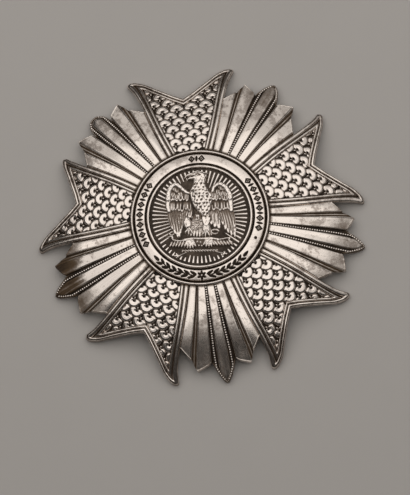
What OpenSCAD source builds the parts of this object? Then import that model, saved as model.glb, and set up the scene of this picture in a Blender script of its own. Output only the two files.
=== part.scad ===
// Breast star of an order. A domed silver star has five forked arms chased with scales and a bundle
// of five rays between each two arms. A bezel ring and an eagle medallion sit on its flat seat, and
// a brooch pin is soldered across the hollow back.
// Millimetres. The origin is the star's middle on the surface that it lies on. +Z points out of the
// face and +Y up the eagle.

/* [Star plate] */
// Radius over the longest points
star_r = 45.7; // [45:0.1:47]
// Radius of the sphere that the plate is domed to
dome_r = 95; // [85:1:120]
// Metal thickness at the grooves
sheet_t = 1.0; // [0.8:0.1:1.4]
// Radius of the flat seat under the bezel ring
seat_r = 19.6; // [19.5:0.1:20]
// Turn of the star against the upright eagle, in degrees
star_turn = 8.4; // [0:0.1:12]

/* [Rays] */
// Height of a ray's crest over the groove beside it
ray_h = 0.9; // [0.6:0.1:1.2]
// Height of the beaded band on each side of a middle ray
bead_h = 0.35; // [0.2:0.05:0.5]
// Height of a middle ray's flat
lancet_h = 0.65; // [0.4:0.05:0.9]

/* [Scales] */
// Distance from one row of scales to the next, outwards
scale_row = 2.15; // [2:0.05:2.3]
// Distance between two scales in the row at the bezel ring. It grows outwards.
scale_pitch = 3.65; // [3.6:0.05:4]
// Radius of one scale's round edge
scale_r = 1.75; // [1.6:0.05:1.8]
// Height of a scale's round edge over the panel
scale_h = 0.34; // [0.2:0.02:0.4]

/* [Centre] */
// Outer radius of the bezel ring
ring_r = 19.4; // [19:0.1:19.5]
// Radius of the hole in the bezel ring
ring_bore = 13.95; // [13.5:0.05:14.2]
// Gap between the medallion and the bezel ring
centre_gap = 0.1; // [0.05:0.05:0.2]
// Height of the medallion's field above the seat, at its edge
field_h = 1.7; // [1.4:0.1:1.9]
// Rise of the field from its edge to its middle
field_rise = 0.3; // [0.1:0.1:0.5]
// Rays struck round the field
field_rays = 60; // [48:1:66]

/* [Brooch pin] */
// Distance of the hinge and of the catch from the middle
post_y = 16; // [14:0.5:17]
// Diameter of the pin's wire
wire_d = 1.2; // [1:0.1:1.5]
// Height of the wire's middle above the surface
wire_z = 1.7; // [1.4:0.1:2.2]

/* [Hidden] */

SECTORS = 5;
SECTOR = 360 / SECTORS;
seat_z = sheet_t + (star_r * star_r - seat_r * seat_r) / (2 * dome_r);
sink = 0.3; // how far relief is rooted in the metal below it

// The arms, counterclockwise from the top one. Angles are from the arm's own axis.
// Columns: left tip angle, left tip radius, notch angle, notch radius, right tip angle, right tip radius
ARMS = [
  [18.4, 45.4, -0.2, 35.9, 18.6, 45.1],
  [18.0, 45.4,  0.1, 35.5, 17.6, 42.6],
  [18.4, 45.4,  0.3, 35.1, 18.5, 44.8],
  [18.8, 45.4,  0.7, 35.3, 18.4, 44.9],
  [18.0, 44.9,  0.5, 35.3, 18.6, 44.8]
];

// The ray bundles, each counterclockwise of the arm in the same row. Ray 1 is next to an arm.
// Columns: lean of the middle ray in degrees, its reach, then the reach of ray 1 and ray 2 on the
// clockwise side and of ray 1 and ray 2 on the other side
BUNDLES = [
  [ 0.2, 44.2, 38.4, 42.2, 38.8, 42.2],
  [-1.0, 45.3, 38.8, 42.5, 39.3, 42.0],
  [ 0.3, 45.4, 39.1, 42.1, 39.2, 42.0],
  [ 1.0, 45.7, 39.2, 42.4, 39.3, 42.4],
  [ 0.7, 44.7, 38.6, 41.8, 38.5, 41.7]
];

// The border round an arm, from its cut edge inwards: a roll, a groove and a fillet
// Columns: share of the border's width, height over the panel
BORDER = [
  [0.00, 0.20],
  [0.25, 0.75],
  [0.55, 0.00],
  [0.82, 0.45],
  [1.00, 0.00]
];
PANEL = len(BORDER) - 1;
side_deg = 18.3; // angle from an arm's axis to its side edge, at the seat
side_w = 1.9; // the border's width along a side, at the seat
tip_w = 2.6; // and at the tip
notch_w = 1.8; // the border's width along the notch

// Shares of the way out, from the seat to where the end border starts, at which the plate has a row
ROWS = [0, 0.03, 0.5];
BACK_ROWS = [0, 0.5, 1];

function polar(r, a) = [r * cos(a), r * sin(a)];
function mix(a, b, t) = a + (b - a) * t;
function dome_z(p) = sheet_t + (star_r * star_r - p * p) / (2 * dome_r);
function arm_axis(k) = 90 + star_turn + SECTOR * k;
function bundle_axis(k) = arm_axis(k) + SECTOR / 2;

// A column of the plate is [base point, end point, rank in the border, height, direction of its cut
// edge]. Its end rows lie at the border's distances from that edge.
function arm_side(k, s) = // s is 1 for an arm's left half and -1 for its right half
  let (
    row = ARMS[k],
    tip = s > 0 ? polar(row[1], arm_axis(k) + row[0]) : polar(row[5], arm_axis(k) - row[4]),
    notch = polar(row[3], arm_axis(k) + row[2]),
    base = polar(seat_r, arm_axis(k) + s * side_deg),
    along = (notch - tip) / norm(notch - tip),
    slant = abs(cross(along, (tip - base) / norm(tip - base)))
  )
  [for (i = [0 : PANEL])
    let (share = BORDER[i][0])
    [polar(seat_r, arm_axis(k) + s * (side_deg - share * side_w / seat_r * 180 / PI)),
     tip + along * share * tip_w / slant, i, BORDER[i][1], along]];

function arm_middle(k) =
  let (notch = polar(ARMS[k][3], arm_axis(k) + ARMS[k][2]))
  [polar(seat_r, arm_axis(k)), notch, PANEL, 0, arm_side(k, 1)[PANEL][4]];

function ray_side(k, s) = // s is -1 for a bundle's clockwise half and 1 for the other
  let (
    row = BUNDLES[k],
    reach = row[1],
    r1 = s < 0 ? row[2] : row[4],
    r2 = s < 0 ? row[3] : row[5],
    table = [ // angle from the bundle's axis, reach, height
      [17.2, r1 - 2.9, 0],
      [16.8, r1 - 2.6, ray_h / 2],
      [12.6, r1, ray_h],
      [11.3, (r1 + r2) / 2, 0],
      [10.0, r2, ray_h],
      [5.5, r2 - 1.7, ray_h / 2],
      [4.9, r2 - 2.4, 0],
      [4.2, reach - 4.4, bead_h],
      [2.7, reach - 2.0, bead_h],
      [2.4, reach - 1.6, 0.1],
      [2.0, reach - 1.1, lancet_h]
    ]
  )
  [for (c = table)
    let (lean = c[0] < 5 ? row[0] : row[0] * (18 - c[0]) / 13)
    [polar(seat_r, bundle_axis(k) + s * c[0]), polar(c[1], bundle_axis(k) + s * c[0] + lean),
     PANEL, c[2], undef]];

function ray_middle(k) =
  [polar(seat_r, bundle_axis(k)), polar(BUNDLES[k][1], bundle_axis(k) + BUNDLES[k][0]),
   PANEL, lancet_h + 0.15, undef];

function backwards(list) = [for (i = [len(list) - 1 : -1 : 0]) list[i]];

COLUMNS = [for (k = [0 : SECTORS - 1])
  each concat(arm_side(k, -1), [arm_middle(k)], backwards(arm_side(k, 1)),
              ray_side(k, -1), [ray_middle(k)], backwards(ray_side(k, 1)))];

// A column's point that lies off the cut edge by one of the border's distances
function end_point(c, off) =
  let (
    out = (c[1] - c[0]) / norm(c[1] - c[0]),
    slant = is_undef(c[4]) ? 1 : max(0.3, abs(cross(c[4], out)))
  )
  c[1] - out * off / slant;

function end_height(c, i) =
  is_undef(c[4]) ? c[3] * (i == 0 ? 0.7 : 1) : BORDER[min(i, c[2])][1];

function top_column(c) =
  let (inside = end_point(c, notch_w))
  concat(
    [for (t = ROWS)
      let (p = mix(c[0], inside, t)) [p[0], p[1], dome_z(norm(p)) + (t > 0 ? c[3] : 0)]],
    [for (i = [PANEL : -1 : 0])
      let (p = end_point(c, BORDER[i][0] * notch_w)) [p[0], p[1], dome_z(norm(p)) + end_height(c, i)]]
  );

function back_column(c) =
  [for (t = BACK_ROWS) let (p = mix(c[0], c[1], t)) [p[0], p[1], dome_z(norm(p)) - sheet_t]];

module plate() {
  n = len(COLUMNS);
  rows = len(ROWS) + PANEL + 1;
  backs = len(BACK_ROWS);
  ring = rows + backs; // each column's points run out over the face and back in under it
  points = concat(
    [for (c = COLUMNS) each concat(top_column(c), backwards(back_column(c)))],
    [[0, 0, seat_z], [0, 0, seat_z - sheet_t]]
  );
  polyhedron(points, [for (i = [0 : n - 1]) each
    let (a = i * ring, b = ((i + 1) % n) * ring)
    concat(
      [for (j = [0 : ring - 2]) each [[a + j, b + j, b + j + 1], [a + j, b + j + 1, a + j + 1]]],
      [[a, n * ring, b], [a + ring - 1, b + ring - 1, n * ring + 1]]
    )
  ]);
}

// The line that scales stop at, half way up the border's inner fillet, as [a point on it, its
// direction]. The panel is on its left.
function stop_line(a, b) =
  let (along = (b - a) / norm(b - a)) [a + 0.13 * [along[1], -along[0]], along];

function side_line(k, s) =
  let (c = arm_side(k, s)[PANEL]) s > 0 ? stop_line(c[1], c[0]) : stop_line(c[0], c[1]);

function notch_line(k, s) =
  let (
    a = end_point(arm_middle(k), notch_w),
    b = end_point(arm_side(k, s)[PANEL], notch_w)
  )
  s > 0 ? stop_line(a, b) : stop_line(b, a);

// A point that is moved square to a line, onto it, if it lies to the right of it
function held(p, line) =
  let (off = cross(line[1], p - line[0])) off < 0 ? p + off * [line[1][1], -line[1][0]] : p;

function in_panel(k, p, s) =
  held(held(held(p, side_line(k, 1)), side_line(k, -1)), notch_line(k, s));

// One scale has its round edge outwards. Its points are held inside the arm's panel.
module scale(k, x, y) {
  out = arm_axis(k);
  turns = [0 : 45 : 180];
  foot = concat([for (a = turns) scale_r * [cos(a), sin(a)]], [[0, -0.5]]);
  crest = [for (a = turns) 0.8 * scale_r * [cos(a), sin(a)]];
  function placed(q, h) =
    let (
      p = [y + q[1], x + q[0]],
      in = in_panel(k, [p[0] * cos(out) - p[1] * sin(out), p[0] * sin(out) + p[1] * cos(out)],
                    p[1] < 0 ? -1 : 1)
    )
    [in[0], in[1], dome_z(norm(in)) + h];
  n = len(foot);
  hull() polyhedron(
    concat([for (q = foot) placed(q, -sink)], [for (q = crest) placed(q, scale_h)]),
    [[for (i = [0 : n - 1]) i], [for (i = [2 * n - 2 : -1 : n]) i], [n - 1, n - 2, 2 * n - 2, n, 0],
     for (i = [0 : n - 3]) [i, n + i, n + i + 1, i + 1]]
  );
}

module scales(k) {
  for (row = [0 : 8])
    for (col = [-3 : 3]) {
      y = seat_r + 0.6 + row * scale_row;
      x = (col + ((row + 1) % 2) / 2) * (scale_pitch + 0.055 * row * scale_row);
      under_side = abs(x) < y * tan(side_deg) - 1.6;
      under_notch = y + 0.7 < ARMS[k][3] - notch_w + abs(x) * 0.6;
      if (under_side && under_notch) scale(k, x, y);
    }
}

module star() {
  color("silver") {
    plate();
    for (k = [0 : SECTORS - 1]) scales(k);
  }
}

module bezel_ring() {
  color("gainsboro") translate([0, 0, seat_z]) rotate_extrude($fn = 180)
    polygon([ // radius, height
      [ring_bore, 0], [ring_r, 0], [ring_r, 0.7], [ring_r - 0.2, 1.0], [ring_r - 0.6, 1.05],
      [ring_r - 0.85, 0.85], [ring_r - 0.9, 0.4], [ring_r - 1.2, 0.4], [ring_r - 1.35, 1.0],
      [ring_r - 2.6, 1.55], [ring_bore + 1.45, 1.85], [ring_bore + 1.3, 1.3],
      [ring_bore + 1.0, 1.3], [ring_bore + 0.85, 2.0], [ring_bore + 0.6, 2.3],
      [ring_bore + 0.25, 2.3], [ring_bore, 2.0]
    ]);
}

// The field's height over the seat at a distance p from its middle
function field_z(p) = field_h + field_rise * (1 - p * p / (ring_bore * ring_bore));

// A disc whose face is struck with rays: each ray is a crest between two valleys
module field() {
  rim = ring_bore - centre_gap;
  n = 2 * field_rays;
  rows = [[rim, 0, 0], [rim, 1, 0], [rim - 0.5, 1, 0.18], [7, 1, 0]]; // radius, on the face or not, crest
  m = len(rows);
  points = concat(
    [for (i = [0 : n - 1]) for (j = [0 : m - 1])
      let (
        p = rows[j][0],
        crest = i % 2 == 0 ? rows[j][2] : 0
      )
      [p * cos(i * 360 / n), p * sin(i * 360 / n), rows[j][1] * (field_z(p) + crest)]],
    [[0, 0, field_z(0)], [0, 0, 0]]
  );
  polyhedron(points, [for (i = [0 : n - 1]) each
    let (a = i * m, b = ((i + 1) % n) * m)
    concat(
      [for (j = [0 : m - 2]) each [[a + j, a + j + 1, b + j + 1], [a + j, b + j + 1, b + j]]],
      [[a + m - 1, n * m, b + m - 1], [a, b, n * m + 1]]
    )
  ]);
}

// A convex lump of cast metal on the field, through rings that all have as many points
module cast(rings) {
  n = len(rings[0]);
  m = len(rings);
  hull() polyhedron(
    [for (ring = rings) each ring],
    concat(
      [[for (i = [0 : n - 1]) i], [for (i = [n - 1 : -1 : 0]) (m - 1) * n + i]],
      [for (j = [0 : m - 2]) for (i = [0 : n - 1])
        [j * n + i, (j + 1) * n + i, (j + 1) * n + (i + 1) % n, j * n + (i + 1) % n]]
    )
  );
}

// An oval lump. Its shape row is middle x and y, half width, half length, height, turn in degrees
module oval(shape) {
  translate([shape[0], shape[1], field_z(norm([shape[0], shape[1]]))]) rotate(shape[5])
    cast([for (level = [[1, -sink], [0.9, 0.5], [0.5, 1]])
      [for (a = [0 : 45 : 315])
        [shape[2] * level[0] * cos(a), shape[3] * level[0] * sin(a), level[1] * shape[4]]]]);
}

// A flat patch of a wing. Its row is six corners, clockwise, and the height
module patch(row) {
  middle = [for (i = [0, 1]) (row[0][0][i] + row[0][2][i] + row[0][4][i]) / 3];
  translate([0, 0, field_z(norm(middle))])
    cast([for (level = [[1, -sink], [0.9, row[1]]])
      [for (q = row[0]) let (p = mix(middle, q, level[0])) [p[0], p[1], level[1]]]]);
}

// A tapered feather, bone, flame or claw with a ridge. Its row is x and y at the root, x and y at
// the point, width at the root, width before the point, height
module blade(row) {
  root = [row[0], row[1]];
  along = [row[2], row[3]] - root;
  length = norm(along);
  translate([root[0], root[1], field_z(norm(root + along / 2))])
    rotate(atan2(along[1], along[0]))
      cast([for (level = [[1, 1, 0, -sink], [0.7, 0, 0.12, row[6]]])
        [for (q = [[0, -row[4]], [0.8 * length, -row[5]], [length, 0], [0.8 * length, row[5]], [0, row[4]]])
          [level[0] * q[0] + level[2] * length, level[1] * q[1] / 2, level[3]]]]);
}

// Lumps of the eagle's body, thighs and feet
// Columns: middle x, middle y, half width, half length, height, turn
BODY = [
  [ 0.4,  6.2, 3.1, 3.6, 0.95,  0], [ 0.8,  2.8, 2.2, 3.0, 0.85,  0],
  [-0.1,  9.6, 1.8, 2.2, 0.85,  0], [-0.4, 11.7, 1.7, 1.3, 0.80,  0],
  [-3.7, -1.9, 1.2, 2.1, 0.80, 20], [ 1.9, -1.0, 1.3, 2.1, 0.80,  0],
  [-2.3, -4.9, 1.1, 0.8, 0.65,  0], [ 4.4, -4.6, 1.3, 0.9, 0.65,  0]
];

// Flat patches under the feathers: shoulder, middle and tip of each wing
WINGS = [
  [[[-2.2, 6.4], [-4.4, 8.2], [-6.5, 9.8], [-8.4, 8.4], [-9.2, 5.4], [-4.4, 4.4]], 0.45],
  [[[-3.6, 6.6], [-9.2, 6.0], [-9.2, 3.4], [-8.6, 1.2], [-5.4, 1.2], [-3.8, 2.8]], 0.35],
  [[[-4.6, 2.6], [-8.9, 2.2], [-8.0, -1.8], [-6.5, -5.0], [-5.3, -6.1], [-4.7, -4.4]], 0.22],
  [[[ 2.9, 6.0], [ 3.8, 9.2], [ 5.6, 9.8], [ 7.6, 8.8], [ 9.0, 5.4], [ 4.6, 4.2]], 0.45],
  [[[ 3.4, 6.6], [ 9.0, 6.4], [ 9.2, 3.4], [ 9.0, 1.2], [ 5.4, 1.2], [ 3.8, 2.8]], 0.35],
  [[[ 4.9, 2.8], [ 9.0, 2.2], [ 9.7, -2.4], [ 9.9, -6.2], [ 8.2, -6.1], [ 6.2, -3.6]], 0.22]
];

// Beak, crest, legs, tail, wing bones, coverts and long feathers
// Columns: root x, root y, point x, point y, width at the root, width before the point, height
BLADES = [
  [-1.4, 12.0, -4.2, 11.3, 1.2, 0.6, 0.75], [ 0.5, 12.2,  2.3, 12.2, 1.2, 0.6, 0.70],
  [-3.2, -3.0, -2.4, -5.6, 1.0, 0.8, 0.70], [ 2.2, -2.2,  3.8, -5.2, 1.0, 0.8, 0.70],
  [-0.8,  1.2, -1.6, -4.6, 1.6, 1.5, 0.40], [ 0.2,  1.0,  0.4, -5.6, 1.6, 1.5, 0.50],
  [ 1.4,  1.0,  2.8, -4.6, 1.6, 1.5, 0.40],
  [-2.4,  6.4, -6.9,  9.7, 1.9, 1.5, 0.90], [-6.2,  9.8, -9.2,  6.4, 1.7, 1.4, 0.90],
  [-8.7,  7.6, -9.2,  2.6, 1.5, 1.2, 0.80],
  [ 3.0,  6.0,  4.2,  9.6, 1.6, 1.3, 0.80], [ 3.8,  9.2,  7.8,  8.9, 1.6, 1.4, 0.90],
  [ 6.9,  9.4,  9.2,  4.6, 1.7, 1.4, 0.90],
  [-4.6,  6.6, -4.4,  1.8, 1.7, 1.7, 0.60], [-6.1,  7.4, -6.0,  1.2, 1.7, 1.7, 0.65],
  [-7.6,  6.8, -7.6,  0.8, 1.7, 1.7, 0.60],
  [ 4.6,  7.4,  4.8,  1.8, 1.7, 1.7, 0.60], [ 6.1,  7.8,  6.4,  1.2, 1.7, 1.7, 0.65],
  [ 7.6,  6.8,  8.1,  0.8, 1.7, 1.7, 0.60],
  [-8.7,  2.4, -6.6, -5.0, 1.2, 1.1, 0.45], [-7.6,  2.4, -5.6, -6.2, 1.2, 1.1, 0.50],
  [-6.4,  2.4, -5.0, -5.0, 1.2, 1.1, 0.45],
  [ 8.9,  2.4, 10.0, -6.0, 1.2, 1.1, 0.45], [ 7.8,  2.4,  9.2, -6.4, 1.2, 1.1, 0.50],
  [ 6.7,  2.4,  8.0, -5.6, 1.2, 1.1, 0.45], [ 5.6,  2.6,  6.8, -4.2, 1.2, 1.1, 0.40]
];

// Forked bolts and arrows under the claws, with the same columns
BOLTS = [
  [-2.0, -7.0, -7.4, -6.6, 0.8, 0.6, 0.6], [-7.4, -7.2, -7.0, -4.8, 0.8, 0.6, 0.6],
  [-6.4, -4.7, -8.6, -4.7, 0.8, 0.6, 0.6], [-3.0, -9.4, -7.0, -11.6, 0.7, 0.9, 0.5],
  [ 3.0, -9.6,  8.0, -10.9, 0.7, 0.9, 0.5], [ 5.2, -7.4,  9.2, -6.6, 0.8, 0.6, 0.5]
];

module eagle() {
  for (row = BODY) oval(row);
  for (row = WINGS) patch(row);
  for (row = BLADES) blade(row);
  for (row = BOLTS) blade(row);
  blade([-4.6, -7.2, 5.6, -7.2, 1.3, 1.1, 0.7]);
  for (i = [-5 : 5]) // flames that fan out under the bolts
    blade([i * 1.35 + 0.3, -7.2, i * 1.68 + 0.3, -9.8 + 0.02 * i * i, 1.2, 0.9, 0.6]);
}

module medallion() {
  color("whitesmoke") translate([0, 0, seat_z]) {
    field();
    eagle();
  }
}

// A plain pin: the wire turns up into a post at each end, and the posts stand on the seat's back
module brooch_pin() {
  color("darkgray") {
    for (s = [-1, 1])
      translate([0, s * post_y, wire_z]) cylinder(h = seat_z - sheet_t - wire_z, r = wire_d / 2, $fn = 32);
    translate([0, post_y, wire_z]) rotate([90, 0, 0]) cylinder(h = 2 * post_y, r = wire_d / 2, $fn = 32);
    for (s = [-1, 1]) translate([0, s * post_y, wire_z]) sphere(r = wire_d / 2, $fn = 32);
  }
}

star();
bezel_ring();
medallion();
brooch_pin();
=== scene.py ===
"""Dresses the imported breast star: chased silver plate, scales, beads, engraved ring and cast eagle.

Sizes are in millimetres until a mesh is made, and the scene itself is in metres.
"""

import logging
import math
from dataclasses import dataclass
from enum import Enum
from typing import Any

import bpy
import numpy as np
from mathutils import Matrix, Vector


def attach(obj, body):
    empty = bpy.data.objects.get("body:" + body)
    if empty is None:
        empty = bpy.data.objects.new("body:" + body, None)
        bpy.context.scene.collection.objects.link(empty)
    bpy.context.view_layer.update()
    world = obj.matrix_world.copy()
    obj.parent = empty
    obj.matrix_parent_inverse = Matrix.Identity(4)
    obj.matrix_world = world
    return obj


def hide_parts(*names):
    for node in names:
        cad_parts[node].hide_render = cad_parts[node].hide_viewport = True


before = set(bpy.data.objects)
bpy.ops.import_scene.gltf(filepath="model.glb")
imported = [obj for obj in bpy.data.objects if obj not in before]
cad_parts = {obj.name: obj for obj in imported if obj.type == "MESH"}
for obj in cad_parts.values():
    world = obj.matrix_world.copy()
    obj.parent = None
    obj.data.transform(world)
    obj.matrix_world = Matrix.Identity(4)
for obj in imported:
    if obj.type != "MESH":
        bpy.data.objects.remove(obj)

Array = np.ndarray
Object, Material, Tree = bpy.types.Object, bpy.types.Material, bpy.types.NodeTree
Socket = bpy.types.NodeSocket
Point = tuple[float, float]
Colour = Triple = tuple[float, float, float]
MM = 0.001
SEED = 7
ARMS = 5
log = logging.getLogger("breast_star")


class Slot(Enum):
    """The record's material slots."""

    STAR = "star_silver"
    RING = "ring_silver"
    MEDALLION = "medallion_silver"
    PIN = "pin_silver"


# Measures


def polar(radius: Any, degrees: Any) -> Array:
    """Returns the points at the given radii and angles."""
    turn = np.radians(np.asarray(degrees, float))
    return np.stack([radius * np.cos(turn), radius * np.sin(turn)], -1)


def far(places: Array) -> Array:
    """Returns how far places are from the middle, seen from above."""
    return np.hypot(places[..., 0], places[..., 1])


def smooth(value: Array, low: float, high: float) -> Array:
    """Returns 0 up to low and 1 from high on, with a soft step between them. High may be under low."""
    share = np.clip((value - low) / (high - low), 0, 1)
    return share * share * (3 - 2 * share)


def arch(share: Array) -> Array:
    """Returns the height of a round arch, from 1 in its middle to 0 where the share is 1."""
    return np.sqrt(np.clip(1 - share**2, 0, 1))


def ridge(place: Array, crest: float, width: float) -> Array:
    """Returns the height of a soft ridge, 1 on its crest."""
    return np.exp(-(((place - crest) / width) ** 2))


def table(place: Any, rows: tuple[Point, ...]) -> Array:
    """Returns the values at places, between rows of place and value."""
    return np.interp(place, [row[0] for row in rows], [row[1] for row in rows])


def unit(vector: Array) -> Array:
    """Returns the vector, or each row of vectors, at length 1."""
    return vector / np.linalg.norm(vector, axis=-1, keepdims=True)


def cross2(a: Array, b: Array) -> Any:
    """Returns the cross product of flat vectors."""
    return a[..., 0] * b[..., 1] - a[..., 1] * b[..., 0]


def turned(x: Array, y: Array, degrees: float) -> tuple[Array, Array]:
    """Returns how far places lie along a direction and to its left."""
    turn = math.radians(degrees)
    return x * math.cos(turn) + y * math.sin(turn), y * math.cos(turn) - x * math.sin(turn)


@dataclass(frozen=True)
class Dome:
    """The sphere that the plate is domed to, and the flat seat in its middle.

    Attributes:
        star_r: Radius over the longest points.
        radius: Radius of the sphere.
        sheet: Thickness of the metal.
        seat_r: Radius of the flat seat.
    """

    star_r: float = 45.7
    radius: float = 95.0
    sheet: float = 1.0
    seat_r: float = 19.6

    @property
    def seat_z(self) -> float:
        """Returns the height of the seat."""
        return float(self.face(self.seat_r))

    def face(self, distance: Any) -> Any:
        """Returns the height of the domed face at distances from the middle."""
        return self.sheet + (self.star_r**2 - np.minimum(distance, self.star_r) ** 2) / (2 * self.radius)


@dataclass(frozen=True)
class Profile:
    """A cross-section as rows of place across, height and share of patina."""

    rows: tuple[Triple, ...]

    @property
    def places(self) -> Array:
        """Returns the places across that have a row."""
        return np.array([row[0] for row in self.rows])

    def height(self, place: Any) -> Array:
        """Returns the height at places across."""
        return np.interp(place, self.places, [row[1] for row in self.rows])

    def recess(self, place: Any) -> Array:
        """Returns the share of patina at places across."""
        return np.interp(place, self.places, [row[2] for row in self.rows])


# Meshes


def linked(name: str, data: Any) -> Object:
    """Returns a new object of the scene that shows the data."""
    made = bpy.data.objects.new(name, data)
    bpy.context.scene.collection.objects.link(made)
    return made


def mesh_object(name: str, points: Array, edges: Any = (), faces: Any = ()) -> Object:
    """Makes a mesh object.

    Args:
        name: Its name.
        points: Its points, in millimetres.
        edges: Pairs of point numbers.
        faces: Rows of point numbers.

    Returns:
        The new object, which stands at the origin.
    """
    mesh = bpy.data.meshes.new(name)
    mesh.from_pydata((points * MM).tolist(), edges, faces)
    return linked(name, mesh)


def write_layer(piece: Object, name: str, values: Array) -> None:
    """Writes a layer of values.

    Args:
        piece: The mesh object.
        name: The layer's name.
        values: A number or a vector for each of its points.
    """
    kind, field = ("FLOAT", "value") if values.ndim == 1 else ("FLOAT_VECTOR", "vector")
    layer = piece.data.attributes.new(name, kind, "POINT")
    layer.data.foreach_set(field, values.astype(np.float32).ravel())


def read_points(piece: Object) -> Array:
    """Returns a mesh object's points in millimetres."""
    flat = np.zeros(len(piece.data.vertices) * 3, np.float32)
    piece.data.vertices.foreach_get("co", flat)
    return flat.reshape(-1, 3).astype(float) / MM


def write_points(piece: Object, points: Array) -> None:
    """Moves a mesh object's points to places given in millimetres."""
    piece.data.vertices.foreach_set("co", (points * MM).astype(np.float32).ravel())
    piece.data.update()


@dataclass
class Part:
    """Points in millimetres, quads and each point's share of patina, which in places also holds painted
    shade, before they are a mesh.
    """

    points: Array
    quads: Array
    recess: Array

    def joined(self, other: "Part") -> "Part":
        """Returns both parts as one."""
        return Part(
            np.concatenate([self.points, other.points]),
            np.concatenate([self.quads, other.quads + len(self.points)]),
            np.concatenate([self.recess, other.recess]),
        )

    def to_object(self, name: str, metal: Material | None = None, sharp: float = 50.0) -> Object:
        """Makes a mesh object of the part, in metres.

        Args:
            name: The piece's name.
            metal: Its material.
            sharp: Edges that bend more than this many degrees stay sharp.

        Returns:
            The new object, which stands at the origin.
        """
        faces = [tuple(dict.fromkeys(quad)) for quad in self.quads.tolist()]
        made = mesh_object(name, self.points, faces=[face for face in faces if len(face) > 2])
        write_layer(made, "recess", np.clip(self.recess, 0, 1))
        made.data.shade_smooth()
        made.data.set_sharp_from_angle(angle=math.radians(sharp))
        if metal:
            made.data.materials.append(metal)
        return made


def grid_quads(across: int, along: int, first: int = 0, closed: bool = False) -> Array:
    """Returns the quads of a grid whose points are numbered column by column.

    Args:
        across: How many columns the grid has.
        along: How many points each column has.
        first: Number of the grid's first point.
        closed: Whether the last column joins the first one.

    Returns:
        Rows of four point numbers. They face up where columns turn counterclockwise and run outwards.
    """
    i, j = np.meshgrid(np.arange(across - (not closed)), np.arange(along - 1), indexing="ij")
    a, b = i * along + j, ((i + 1) % across) * along + j
    return np.stack([a, a + 1, b + 1, b], -1).reshape(-1, 4) + first


def shell(plan: Array, lift: Array, recess: Array, dome: Dome) -> Part:
    """Closes a grid on the dome with walls and a back.

    Args:
        plan: Places seen from above, as columns by rows by two.
        lift: Height of each over the dome.
        recess: Share of patina of each, with any painted shade laid into it.
        dome: The dome that the grid lies on.

    Returns:
        The closed part, whose back is the metal's thickness under the dome.
    """
    across, along = lift.shape
    ground = dome.face(far(plan))
    face = np.dstack([plan, ground + lift]).reshape(-1, 3)
    back = np.dstack([plan, ground - dome.sheet]).reshape(-1, 3)
    count = across * along
    number = np.arange(count).reshape(across, along)
    rim = np.concatenate([number[0], number[1:, -1], number[-1, -2::-1], number[-2:0:-1, 0]])
    onward = np.roll(rim, -1)
    walls = np.stack([rim, rim + count, onward + count, onward], -1)
    quads = [grid_quads(across, along), grid_quads(across, along, count)[:, ::-1], walls]
    back_recess = 0.3
    shade = np.concatenate([recess.ravel(), np.full(count, back_recess)])
    return Part(np.concatenate([face, back]), np.concatenate(quads), shade)


def lathe(radii: Array, heights: Array, recess: Array, columns: int, poles: tuple[Point, ...] = ()) -> Part:
    """Turns a section about the axis.

    Args:
        radii: The radii of the section's points, along the face from the inside to the outside and back.
        heights: Their heights, or a row of them for each column.
        recess: Their shares of patina, or a row of them for each column.
        columns: How many columns go round.
        poles: Height and patina of the two points on the axis that close it, where it isn't a ring.

    Returns:
        The closed part.
    """
    along, count = len(radii), len(radii) * columns
    plan = polar(radii[None], np.linspace(0, 360, columns, endpoint=False)[:, None])
    points = np.dstack([plan, np.broadcast_to(heights, plan.shape[:2])]).reshape(-1, 3)
    shade = np.broadcast_to(recess, plan.shape[:2]).ravel()
    first = np.arange(columns) * along
    last, onward = first + along - 1, np.roll(first, -1)
    if poles:
        upper = np.stack([np.full(columns, count), first, onward, onward], -1)
        lower = np.stack([np.full(columns, count + 1), np.roll(last, -1), last, last], -1)
        ends = [upper, lower]
        points = np.concatenate([points, [[0, 0, height] for height, _ in poles]])
        shade = np.concatenate([shade, [dark for _, dark in poles]])
    else:
        ends = [np.stack([first, onward, onward + along - 1, last], -1)]
    return Part(points, np.concatenate([grid_quads(columns, along, closed=True), *ends]), shade)


def placed(piece: Object, slot: Slot, node: str) -> None:
    """Hands a finished piece to the frame.

    Args:
        piece: The finished piece.
        slot: The record's material slot; not used.
        node: The solid that it stands for.
    """
    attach(piece, "root")
    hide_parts(node)
    log.info("%s: %d faces", piece.name, len(piece.data.polygons))


# Node trees


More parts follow.
